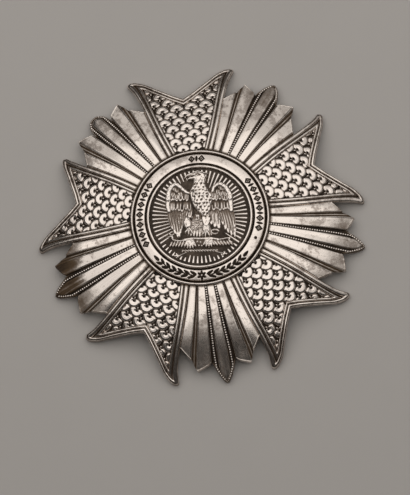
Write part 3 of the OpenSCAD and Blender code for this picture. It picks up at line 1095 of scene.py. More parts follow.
    def relief(self, angle: Array, distance: Array, bundle: Bundle, from_end: Array) -> tuple[Array, Array]:
        """Works out a bundle's relief.

        Args:
            angle: Angles from the bundle's axis, all positive.
            distance: Distances from the star's middle.
            bundle: The bundle.
            from_end: Distances to the cut end.

        Returns:
            Heights over the dome and shares of patina.
        """
        across, back = np.radians(angle) * distance, bundle.reach - distance
        leaf = self.leaf_width(back, bundle.blunt)
        crown = 0.66 + 0.13 * arch(across / np.maximum(leaf, 1e-3))
        inside = smooth(across - leaf, 0.16, -0.02)
        edge = table(back, self.lens(bundle.blunt))
        aside = np.clip(edge - across, 0, 9)
        near = from_end * aside / np.maximum(np.hypot(from_end, aside), 1e-6)
        rim = ridge(near, 0.2, 0.13) * smooth(back, 6, 4) * (across < edge + 0.05)
        middle = angle < self.middle_deg
        lift = np.where(middle, np.maximum(crown * inside, 0.22 + 0.1 * rim), self.rays.height(angle))
        dark = np.minimum(1 - smooth(across - leaf, 0.1, -0.06), 1 - 0.7 * rim)
        drop = table(from_end, ((0, 0.5), (0.06, 0.85), (0.12, 1), (0.3, 1)))
        turned_up = 0.1 * ridge(from_end, 0.13, 0.09) * ~middle
        return lift * drop + turned_up, np.where(middle, dark, self.rays.recess(angle))

    def leaf_width(self, back: Array, blunt: float) -> Array:
        """Works out the width of a middle ray's leaf.

        Args:
            back: Distances back from the ray's apex.
            blunt: 0 where its end is pointed and 1 where it is round.

        Returns:
            Half the leaf's width.
        """
        width = table(back, self.leaf)
        shoulder, widest = 2.3, 1.55
        full = widest * arch((shoulder - np.clip(back, 0.8, shoulder)) / 1.5)
        full = np.where(back < shoulder, full, table(back, ((shoulder, widest), (9, 1.34))))
        return width + blunt * (full - width) * (back < 9)

    def bead_path(self, k: int, side: int) -> Array:
        """Works out the line of beads on one side of a middle ray.

        Args:
            k: The bundle's number.
            side: 1 for its left side and -1 for its right side.

        Returns:
            The line's points, seen from above.
        """
        bundle = self.bundles[k]
        length = bundle.reach - self.inner_r
        back = np.concatenate([np.linspace(length - 0.4, 6, 30), np.linspace(6, 0.9, 30)[1:]])
        limit = table(back - 0.15, self.lens(bundle.blunt)) - 0.36
        width = np.minimum(table(back, self.bead_line), limit)
        reach = bundle.reach - back
        lean = bundle.lean * (reach - self.inner_r) / length
        return self.waisted(polar(reach, self.bundle_axis(k) + lean + side * np.degrees(width / reach)))

    def seat_part(self) -> Part:
        """Builds the flat seat under the ring and the medallion.

        Returns:
            The seat as a closed disc.
        """
        top, low = self.dome.seat_z, self.dome.seat_z - self.dome.sheet
        radii = np.array([0.5, 10, self.inner_r, self.inner_r, 10, 0.5])
        heights, recess = np.repeat([top, low], 3), np.repeat([1, 0.3], 3)
        return lathe(radii, heights, recess, 180, ((top, 1), (low, 0.3)))

    def build(self, metal: Material) -> None:
        """Builds the arms with the seat, and the rays.

        Args:
            metal: Their material.
        """
        arms, rays = self.seat_part(), self.bundle_part(0)
        for k in range(ARMS):
            arms = arms.joined(self.arm_part(k))
        for k in range(1, ARMS):
            rays = rays.joined(self.bundle_part(k))
        for name, part in (("star_arms", arms), ("star_rays", rays)):
            placed(part.to_object(name, metal, 60), Slot.STAR, "star")


# Scales and beads


@dataclass
class ScaleWork:
    """The overlapping scales in the arms' panels.

    Attributes:
        plate: The plate that they stand on.
        radius: Outer radius of a scale.
        eye: Radius of the dark eye under its crown.
        first_r: Distance of the innermost crowns from the star's middle.
        row_step: Distance from row to row.
        pitch: Distance between two scales of the innermost row.
        widening: How much the pitch grows per millimetre outwards.
        pellet_y: Place of the pellet's middle, below the eye.
        pellet_size: Half its width and half its length.
        rows: How many rows an arm has at most.
    """

    plate: StarPlate
    radius: float = 1.84
    eye: float = 0.25
    first_r: float = 22.0
    row_step: float = 2.12
    pitch: float = 3.6
    widening: float = 0.055
    pellet_y: float = -0.72
    pellet_size: tuple[float, float] = (0.28, 0.46)
    rows: int = 10

    # Share of the way from the eye to the round edge, height, patina
    section = Profile((
        (0, 0.05, 1), (0.03, 0.24, 0.4), (0.08, 0.34, 0), (0.42, 0.41, 0), (0.48, 0.39, 0.2),
        (0.54, 0.41, 0), (0.83, 0.37, 0), (0.91, 0.31, 0.05), (0.96, 0.2, 0.6), (1, -0.03, 1),
    ))
    # Distance from the eye's middle and how far the legs turn past the half circle, in degrees
    legs = ((0.25, 60), (0.5, 60), (0.8, 54), (1, 39), (1.2, 26), (1.5, 15), (1.84, 10))
    # Shares of the way from a scale's crown to the end of a leg
    steps = (0.15, 0.3, 0.46, 0.62, 0.78, 0.9, 0.97, 1)

    def shape(self) -> Part:
        """Builds one scale.

        Returns:
            A fat crescent that lies flat, and the small pellet at its root.
        """
        share = self.section.places
        radius = self.eye + (self.radius - self.eye) * share
        past = table(radius, self.legs)
        half = np.array(self.steps)
        step = np.concatenate([-half[::-1], [0], half])
        plan = polar(radius[None], 90 + step[:, None] * (90 + past[None]))
        fade = table(np.abs(step), ((0.9, 1), (0.97, 0.75), (1, 0)))[:, None]
        lift = self.section.height(share)[None] * fade
        recess = 1 - (1 - self.section.recess(share)[None]) * np.clip(fade * 1.4, 0, 1)
        points = np.dstack([plan, lift]).reshape(-1, 3)
        return Part(points, grid_quads(len(step), len(share)), recess.ravel()).joined(self.pellet())

    def pellet(self) -> Part:
        """Builds the pellet of a scale.

        Returns:
            A small long dome that is open below.
        """
        columns = 8
        turn = np.linspace(0, 360, columns, endpoint=False)
        ring, lift = np.array([1, 0.75, 0.35]), np.array([-0.03, 0.28, 0.37])
        plan = polar(ring[None, :], turn[:, None]) * self.pellet_size + [0, self.pellet_y]
        wall = np.dstack([plan, np.broadcast_to(lift, plan.shape[:2])]).reshape(-1, 3)
        points = np.concatenate([wall, [[0, self.pellet_y, 0.39]]])
        cap = np.arange(columns) * 3 + 2
        crown = np.full(columns, columns * 3)
        cap_quads = np.stack([cap, np.roll(cap, -1), crown, crown], -1)
        quads = np.concatenate([grid_quads(columns, 3, closed=True)[:, ::-1], cap_quads])
        return Part(points, quads, np.concatenate([np.tile([0.9, 0, 0], columns), [0]]))

    def places(self, k: int) -> list[Triple]:
        """Works out where an arm's scales stand.

        Args:
            k: The arm's number.

        Returns:
            For each its place across and along the arm's axis, and how much wider it is.
        """
        found = []
        for row in range(self.rows):
            y = self.first_r - self.radius + row * self.row_step
            step = self.pitch + self.widening * row * self.row_step
            for column in range(-4, 5):
                x = (column + ((row + 1) % 2) / 2) * step
                inside = abs(x) < y * math.tan(math.radians(self.plate.side_deg)) - 0.1
                edge = self.plate.arms[k].notch_r - self.plate.notch_w + abs(x) * 0.62
                if inside and y - 0.95 < edge:
                    found.append((x, y, 1 + 0.5 * (step / self.pitch - 1)))
        return found

    def stop_lines(self, k: int) -> list[tuple[Array, Array, int]]:
        """Works out the edges of an arm's panel.

        Args:
            k: The arm's number.

        Returns:
            For each edge a point, its direction with the panel on its left, and the half of the arm that it
            holds, or 0 for both.
        """
        lines = []
        for side in (-1, 1):
            base, end, along = self.plate.side_columns(k, side)
            start, stop = (base[-1], end[-1]) if side < 0 else (end[-1], base[-1])
            lines.append((start, unit(stop - start), 0))
            inward = np.array([-along[1], along[0]]) * -side
            lines.append((end[-1] + inward * self.plate.notch_w, along * side * -1, side))
        return lines

    def build(self, repeats: Repeats, metal: Material) -> None:
        """Sets the scales out and trims them to their panels.

        Args:
            repeats: The trees that set shapes out.
            metal: Their material.
        """
        rows = np.array([(k, *place) for k in range(ARMS) for place in self.places(k)])
        owners, x, y, wider = rows.T
        axis, nought = np.radians(self.plate.arm_axis(owners)), 0 * x
        cos, sin = np.cos(axis), np.sin(axis)
        spots = np.column_stack([y * cos + x * sin, y * sin - x * cos, nought])
        layout = spots, axis - math.pi / 2, np.column_stack([wider, nought + 1, nought + 1])
        spread = {"Size_spread": 0.03, "Turn_spread": 0.07}
        made = repeats.scatter("star_scales", self.shape(), layout, Material=metal, **spread)
        self._trim(made, owners)
        placed(made, Slot.STAR, "star")

    def _trim(self, made: Object, owners: Array) -> None:
        """Holds each scale's points inside its panel and lays them on the dome.

        Args:
            made: The scales, which still lie flat.
            owners: The number of the arm that each belongs to.
        """
        points = read_points(made)
        each = len(points) // len(owners)
        for k in range(ARMS):
            mine = np.repeat(owners == k, each)
            flat = points[mine, :2]
            half = np.where(cross2(unit(self.plate.notch(k)), flat) > 0, 1, -1)
            for start, along, side in self.stop_lines(k):
                off = cross2(along, flat - start)
                held = flat + off[:, None] * np.array([along[1], -along[0]])
                flat = np.where(((off < 0) & (half * side >= 0))[:, None], held, flat)
            points[mine, :2] = flat
        points[:, :2] = self.plate.waisted(points[:, :2])
        points[:, 2] += self.plate.dome.face(far(points))
        write_points(made, points)


@dataclass
class BeadWork:
    """The lines of beads beside each middle ray. The bed is the height of the beads' middles."""

    plate: StarPlate
    pitch: float = 0.68
    radius: float = 0.3
    flatness: float = 0.62
    bed: float = 0.33

    def build(self, repeats: Repeats, metal: Material) -> None:
        """Sets the beads out.

        Args:
            repeats: The trees that set shapes out.
            metal: Their material.
        """
        lines, edges, first = [], [], 0
        for k in range(ARMS):
            for side in (-1, 1):
                flat = self.plate.bead_path(k, side)
                lines.append(np.column_stack([flat, self.plate.dome.face(far(flat)) + self.bed]))
                edges += [(i, i + 1) for i in range(first, first + len(flat) - 1)]
                first += len(flat)
        made = mesh_object("star_beads", np.concatenate(lines), edges)
        values = {"Pitch": self.pitch * MM, "Bead radius": self.radius * MM, "Flatness": self.flatness}
        values |= {"Size spread": 0.06, "Material": metal}
        repeats.settle(made, repeats.along_lines, values)
        points = read_points(made)
        over_bed = points[:, 2] - self.plate.dome.face(far(points)) - self.bed
        # Darker towards each bead's foot: patina, with painted shade under the bead
        write_layer(made, "recess", smooth(over_bed, -0.08 * self.radius, -0.25 * self.radius))
        placed(made, Slot.STAR, "star")


# Ring


@dataclass
class BezelRing:
    """The ring round the medallion, with two fillets and an engraved band.

    Attributes:
        dome: The dome whose seat it stands on.
        columns: Columns of points round it.
        band_low: Radius at which the engraved band starts.
        band_high: Radius at which it ends.
        band_rows: Rows of points across the band.
        line_r: Radius of the band's middle line, which the marks stand on.
        crown: How much the band is arched.
        depth: Depth of the engraving.
        dot_deg: Direction of the dot.
        rosette_deg: Direction of the rosette, where the two sprigs meet.
    """

    dome: Dome
    columns: int = 1260
    band_low: float = 15.45
    band_high: float = 17.9
    band_rows: int = 30
    line_r: float = 16.75
    crown: float = 0.03
    depth: float = 0.14
    dot_deg: float = -22.0
    rosette_deg: float = 271.9

    # Radius, height over the seat, patina
    section = Profile((
        # Inner fillet
        (13.95, 1.85, 1), (13.99, 2.1, 0.4), (14.1, 2.26, 0), (14.3, 2.34, 0), (14.52, 2.32, 0),
        (14.68, 2.18, 0.05), (14.8, 1.8, 0.8),
        # Inner groove
        (14.9, 1.38, 1), (15.05, 1.3, 1), (15.2, 1.38, 1), (15.3, 1.66, 0.7),
        # Band
        (15.4, 1.86, 0), (15.7, 1.84, 0), (16.1, 1.76, 0), (17.9, 1.2, 0),
        # Outer groove
        (18, 1.1, 0.4), (18.12, 0.62, 1), (18.35, 0.4, 1), (18.56, 0.5, 1),
        # Outer fillet
        (18.68, 0.84, 0.4), (18.8, 0.99, 0.05), (18.95, 1.03, 0), (19.1, 0.98, 0.05),
        (19.22, 0.88, 0.15), (19.3, 0.74, 0.3), (19.38, 0.55, 0.6), (19.4, 0.45, 0.8),
    ))
    # Directions of the lozenges, in three groups
    lozenges = tuple(207 - 10 * i for i in range(7)), (98, 88.5), tuple(37 - 9.8 * i for i in range(6))

    @staticmethod
    def leaf(along: Array, across: Array, length: float, width: float) -> Array:
        """Engraves a pointed leaf that starts at the origin.

        Args:
            along: Places along it.
            across: Places across it.
            length: Its length.
            width: Its width.

        Returns:
            1 inside the leaf and 0 outside it, with soft edges.
        """
        share = along / length
        half = width / 2 * np.sqrt(np.clip(4 * share * (1 - share), 0, 1)) * (1.25 - 0.5 * share)
        inside = (share > 0) & (share < 1)
        return np.where(inside, smooth(np.abs(across) - half, 0.07, -0.03), 0)

    def marks(self, turn: Array, radius: Array) -> Array:
        """Works out the engraving.

        Args:
            turn: Angles round the ring, in degrees.
            radius: Distances from the middle.

        Returns:
            How deep each place is cut, from 0 to 1.
        """
        up = radius - self.line_r

        def arc(centre: float) -> Array:
            """Returns the distances along the band from a direction."""
            return np.radians((turn - centre + 180) % 360 - 180) * self.line_r

        cuts = [smooth(np.hypot(arc(self.dot_deg), up), 0.46, 0.3)]
        for group in self.lozenges:
            for centre in group:
                reach = np.abs(arc(centre)) / 0.88 + np.abs(up) / 1.05
                cuts += [smooth(np.abs(reach - 0.78), 0.33, 0.22), smooth(reach, 0.34, 0.24)]
            for first, second in zip(group, group[1:]):
                spindle = np.abs(arc((first + second) / 2)) / 0.32 + up**2
                cuts.append(smooth(spindle, 1.1, 0.8))
        bottom = arc(self.rosette_deg)
        cuts += [self.sprig(bottom, up), self.sprig(-bottom, up), self.rosette(bottom, up)]
        return np.maximum.reduce(cuts)

    def sprig(self, x: Array, up: Array) -> Array:
        """Engraves one laurel sprig that grows along x.

        Args:
            x: Places along the band.
            up: Places across it.

        Returns:
            How deep each place is cut, from 0 to 1.
        """
        pairs = 6
        cut = 0.9 * smooth(np.abs(up - 0.12 * np.sin(x * 0.9)), 0.16, 0.06) * ((x > 1.7) & (x < 12.2))
        for i in range(pairs):
            root = 1.5 + 1.95 * i
            for side in (-1, 1):
                along, across = turned(x - root - 0.4 * (side > 0), up - 0.1 * side, 25 * side)
                cut = np.maximum(cut, self.leaf(along, across, 2.1 * (1.0 - 0.03 * i), 0.72))
        return np.maximum(cut, self.leaf(x - 13, up, 2, 0.72))

    def rosette(self, x: Array, up: Array) -> Array:
        """Engraves a small rosette.

        Args:
            x: Places along the band.
            up: Places across it.

        Returns:
            How deep each place is cut, from 0 to 1.
        """
        cuts, petals = [], 6
        for petal in range(petals):
            along, across = turned(x, up, 360 / petals * petal + 30)
            cuts.append(self.leaf(along - 0.22, across, 1.1, 0.62))
        return np.maximum.reduce(cuts)

    def build(self, metal: Material) -> None:
        """Builds the ring.

        Args:
            metal: Its material.
        """
        band = np.linspace(self.band_low, self.band_high - 0.04, self.band_rows)
        radii = np.unique(np.concatenate([self.section.places, band]))
        turn = np.linspace(0, 360, self.columns, endpoint=False)[:, None]
        cut = self.marks(turn, radii[None])
        arched = self.crown * np.clip(1 - ((radii - 16.7) / 1.3) ** 2, 0, 1)
        height = self.dome.seat_z + (self.section.height(radii) + arched - self.depth * cut)
        recess = np.maximum(self.section.recess(radii), 1.1 * cut)
        heights = np.pad(height, ((0, 0), (1, 1)), constant_values=self.dome.seat_z)
        shade = np.pad(recess, ((0, 0), (1, 1)), constant_values=1)
        part = lathe(np.pad(radii, 1, "edge"), heights, shade, self.columns)
        placed(part.to_object("engraved_ring", metal, 60), Slot.RING, "bezel_ring")


# Medallion


@dataclass
class MedallionField:
    """The disc behind the eagle, which rises to its middle, and the rays struck round its edge."""

    dome: Dome
    rim: float = 13.85
    edge_h: float = 1.7
    rise: float = 0.3
    bore: float = 13.95
    columns: int = 240
    rays: int = 68
    ray_end: float = 13.35

    def face(self, distance: Any) -> Any:
        """Returns the height of the field at distances from the middle."""
        return self.dome.seat_z + self.edge_h + self.rise * (1 - distance**2 / self.bore**2)

    def disc(self) -> Part:
        """Builds the disc.

        Returns:
            The disc as a closed part.
        """
        radii = np.array([0.4, 2, 4, 6, 8, 10, 11.5, 12.6, 13.3, 13.6, self.rim, self.rim])
        height = self.face(radii) + table(radii, ((13.3, 0), (13.6, 0.06)))
        height[-1] = self.dome.seat_z
        shade = table(radii, ((5, 0.88), (9, 0.95), (13.6, 1)))
        return lathe(radii, height, shade, self.columns, ((self.face(0), 0.88), (self.dome.seat_z, 1)))

    @staticmethod
    def bar() -> Part:
        """Builds one ray.

        Returns:
            A ray that runs outwards along x from 0 to 1 and gets wider.
        """
        along = np.array([0, 0.04, 0.3, 0.7, 0.96, 1])
        width = table(along, ((0, 0.16), (1, 0.38)))
        across = np.array([-1, -0.75, -0.25, 0.25, 0.75, 1])
        height = np.array([-0.04, 0.17, 0.24, 0.24, 0.17, -0.04])
        ends = np.array([0, 0.9, 1, 1, 0.9, 0])
        length = np.broadcast_to(along[:, None], (6, 6))
        lift = height[None] * ends[:, None] - 0.04 * (1 - ends[:, None])
        points = np.stack([length, width[:, None] * across[None], lift], -1)
        recess = np.maximum(np.array([1, 0.3, 0, 0, 0.3, 1])[None], (1 - ends)[:, None])
        return Part(points.reshape(-1, 3), grid_quads(6, 6)[:, ::-1], recess.ravel())

    def layout(self) -> tuple[Array, Array, Array]:
        """Works out where the rays stand. Those beside the head and the flames are shorter or fainter.

        Returns:
            Their starts, their directions in radians, and how much longer, wider and higher they are.
        """
        turn = (np.arange(self.rays) + 0.5) * 360 / self.rays
        from_top, from_beak, from_foot = (np.abs(turn - middle) for middle in (90, 111, 270))
        start = np.where(from_foot < 36, 11.3, 8.4)
        start = np.where(from_top < 14, 9.6, start)
        start = np.where(from_beak < 13, 10.8, start)
        start = np.where((from_foot > 16) & (from_foot < 52), 12.2, start)
        height = np.where(from_foot < 52, 0.5, 1)
        spots = np.column_stack([polar(start, turn), np.zeros(self.rays)])
        return spots, np.radians(turn), np.column_stack([self.ray_end - start, np.ones(self.rays), height])

    def build(self, repeats: Repeats, metal: Material) -> None:
        """Builds the field and its rays, two pieces.

        Args:
            repeats: The trees that set shapes out.
            metal: Their material.
        """
        placed(self.disc().to_object("medallion_field", metal, 60), Slot.MEDALLION, "medallion")
        spread = {"Size_spread": 0.02, "Turn_spread": 0.008}
        bars = repeats.scatter("field_rays", self.bar(), self.layout(), Material=metal, **spread)
        points = read_points(bars)
        points[:, 2] += self.face(far(points))
        write_points(bars, points)
        placed(bars, Slot.MEDALLION, "medallion")


class Relief:
    """A height map that shapes are laid on, and that becomes a mesh."""

    def __init__(self, low: Point, high: Point, step: float) -> None:
        """Makes an empty map.

        Args:
            low: Its lower left corner.
            high: Its upper right corner.
            step: Distance between two of its points.
        """
        columns, rows = (np.arange(low[i], high[i] + step / 2, step) for i in (0, 1))
        self.step = step
        self.x, self.y = np.meshgrid(columns, rows, indexing="ij")
        self.height = np.zeros_like(self.x)
        self.dark = np.ones_like(self.x)

    def lay(self, inside: Array, height: Array, dark: Array) -> None:
        """Puts a shape over what is there."""
        self.height = np.where(inside, height, self.height)
        self.dark = np.where(inside, dark, self.dark)

    def rounds(self, centre: Point, size: Point, turn: float) -> Array:
        """Returns the distance from the middle of an ellipse, which is 1 on its edge."""
        across, along = turned(self.x - centre[0], self.y - centre[1], turn)
        return np.hypot(across / size[0], along / size[1])

    def lump(self, centre: Point, size: Point, turn: float, edge: float, top: float, dark: float = 0) -> None:
        """Lays a round lump.

        Args:
            centre: Its middle.
            size: Its half width and half length.
            turn: Its turn, in degrees.
            edge: Height at its edge.
            top: Height at its middle.
            dark: Share of patina all over it.
        """
        d = self.rounds(centre, size, turn)
        height = edge + (top - edge) * arch(d)
        self.lay((d < 1) & (height > self.height), height, np.maximum(smooth(d, 0.86, 1), dark))

    def plume(self, centre: Point, size: Point, turn: float, body: Array) -> None:
        """Raises a small overlapping feather, whose root is in shade, on a rounded body.

        Args:
            centre: Its middle.
            size: Its half width and half length.
            turn: Its turn, in degrees.
            body: The body's height.
        """
        d = self.rounds(centre, size, turn)
        down = -turned(self.x - centre[0], self.y - centre[1], turn)[1] / size[1]
        height = body + 0.05 + 0.15 * arch(d) + 0.12 * down
        dark = np.maximum(0.7 * smooth(d, 0.86, 1.04), 0.6 * smooth(down, -0.45, -0.9))
        self.lay((d < 1) & (body > 0.1), height, dark)

    def feather(
        self, root: Point, tip: Point, width: float, low: float, high: float,
        bend: float, shade: float, blunt: float, hollow: float = 0,
    ) -> None:
        """Lays a feather, leaf or flame with a shaft, barbs and a dark edge.

        Args:
            root: Where it starts.
            tip: Where it ends.
            width: Its greatest width.
            low: Height at its root.
            high: Height at its tip.
            bend: How far its middle bows to the left of its run.
            shade: Share of painted shade at its root.
            blunt: Share of its length at which it starts to narrow to its tip.
            hollow: Share of patina inside its bright rim.
        """
        way = np.array(tip) - root
        length = float(np.linalg.norm(way))
        run = way / length
        dx, dy = self.x - root[0], self.y - root[1]
        s = (dx * run[0] + dy * run[1]) / length
        v = -dx * run[1] + dy * run[0] - bend * 4 * s * (1 - s)
        taper = arch((s - blunt) / (1 - blunt))
        half = width / 2 * np.where(s > blunt, taper, table(s, ((0, 0.75), (0.35, 1))))
        share = np.abs(v) / np.maximum(half, 1e-3)
        barb_pitch, barb_slant = 0.36, 1.7
        barbs = np.sin(2 * np.pi * (s * length / barb_pitch + np.abs(v) * barb_slant))
        height = low + (high - low) * s + 0.16 * arch(share) - 0.1
        height += 0.05 * ridge(v, 0, 0.08) * (s < 0.85)
        height += 0.018 * barbs * (share < 0.8)
        rim = np.maximum(smooth(share, 0.5, 0.72), smooth(s, 0.76, 0.9))
        height -= 0.14 * (hollow > 0) * (1 - rim)
        # A dark edge, and painted shade towards the root
        edge = np.maximum(smooth(share, 0.8, 1), shade * smooth(s, 0.62, 0.12))
        edge = np.maximum(edge, hollow * (1 - rim))
        self.lay((s > 0) & (s < 1) & (share < 1), height, np.clip(edge + 0.1 * barbs, 0, 1))

    def stroke(self, path: Any, widths: Point, top: float) -> None:
        """Lays a rounded ridge along a smooth path.

        Args:
            path: The points that it runs through.
            widths: Its half width at the start and at the end.
            top: Its height.
        """
        points = self.curved(np.array(path, float))
        lengths = np.linalg.norm(np.diff(points, axis=0), axis=1)
        total, so_far = lengths.sum(), 0.0
        best = np.full_like(self.x, 9)
        for a, b, length in zip(points, points[1:], lengths):
            run = (b - a) / length
            t = np.clip((self.x - a[0]) * run[0] + (self.y - a[1]) * run[1], 0, length)
            width = np.interp((so_far + t) / total, [0, 1], widths)
            off = np.hypot(self.x - a[0] - t * run[0], self.y - a[1] - t * run[1])
            best = np.minimum(best, off / width)
            so_far += length
        self.lay(best < 1, top * (0.45 + 0.55 * arch(best)), smooth(best, 0.78, 1))

    @staticmethod
    def curved(points: Array) -> Array:
        """Draws a smooth path.

        Args:
            points: The points that it runs through.

        Returns:
            The path's points, four for each given one.
        """
        if len(points) < 3:
            return points
        ends = np.concatenate([[2 * points[0] - points[1]], points, [2 * points[-1] - points[-2]]])
        t = np.linspace(0, 1, 5)[:-1, None]
        rows = []
        for a, b, c, d in zip(ends, ends[1:], ends[2:], ends[3:]):
            bend, twist = 2 * a - 5 * b + 4 * c - d, 3 * b - a - 3 * c + d
            rows.append(0.5 * (2 * b + (c - a) * t + bend * t**2 + twist * t**3))
        return np.concatenate([*rows, points[-1:]])

    def pit(self, centre: Point, size: Point, turn: float, depth: float) -> None:
        """Sinks a small dark pit into what is there.

        Args:
            centre: Its middle.
            size: Its half width and half length.
            turn: Its turn, in degrees.
            depth: Its depth.
        """
        share = smooth(self.rounds(centre, size, turn), 1, 0.3)
        self.height = self.height - depth * share
        self.dark = np.maximum(self.dark, share)

    def blurred(self, values: Array, reach: float) -> Array:
        """Softens values.

        Args:
            values: A value for each point of the map.
            reach: How far each one is spread.

        Returns:
            The softened values.
        """
        count = max(1, round(reach / self.step))
        kernel = np.hanning(2 * count + 3)[1:-1]
        kernel /= kernel.sum()
        for axis in (0, 1):
            values = np.apply_along_axis(lambda line: np.convolve(line, kernel, "same"), axis, values)
        return values

    def to_part(self, face: Any) -> Part:
        """Turns the map into a part, worn soft and with the grain of a casting.

        Args:
            face: Gives the height of the ground at distances from the middle.

        Returns:
            The part, without the places where nothing stands.
        """
        grain = np.random.default_rng(SEED).normal(0, 1, self.x.shape)
        grain = self.blurred(grain, 0.2) * 0.06 + self.blurred(grain, 0.5) * 0.12
        height = self.blurred(self.height, 0.11) + grain * smooth(self.height, 0.1, 0.3)
        hollow = np.clip((self.blurred(self.height, 0.45) - height) * 3.6, 0, 1)
        dark = np.clip(np.maximum(self.blurred(self.dark, 0.09), hollow), 0, 1)
        stands = height > 0.02
        ground, scale, sunk = face(np.hypot(self.x, self.y)), 0.94, 0.15
        z = np.where(stands, ground + scale * height, ground - sunk)
        quads = grid_quads(*self.x.shape)[:, [0, 3, 2, 1]]
        quads = quads[stands.ravel()[quads].any(1)]
        used = np.unique(quads)
        renumber = np.zeros(self.x.size, int)
        renumber[used] = np.arange(len(used))
        points = np.stack([self.x, self.y, z], -1).reshape(-1, 3)[used]
        return Part(points, renumber[quads], dark.ravel()[used])


@dataclass(frozen=True)
class Wing:
    """One half-spread wing, as rows of points of the picture.

    Attributes:
        grounds: Lumps under the feathers: middle, half sizes, turn.
        primaries: The long feathers: root, tip, width, bend.
        rows: The rows of short feathers: x of the roots, x and y of the tips, length, low and high.
        cord: The thick leading edge.
        flank: The long covert under it.
        curls: Small feathers under the leading edge: middle and turn.
    """

    grounds: tuple
    primaries: tuple
    rows: tuple
    cord: tuple[Point, ...]
    flank: tuple[Point, ...]
    curls: tuple[Triple, ...]


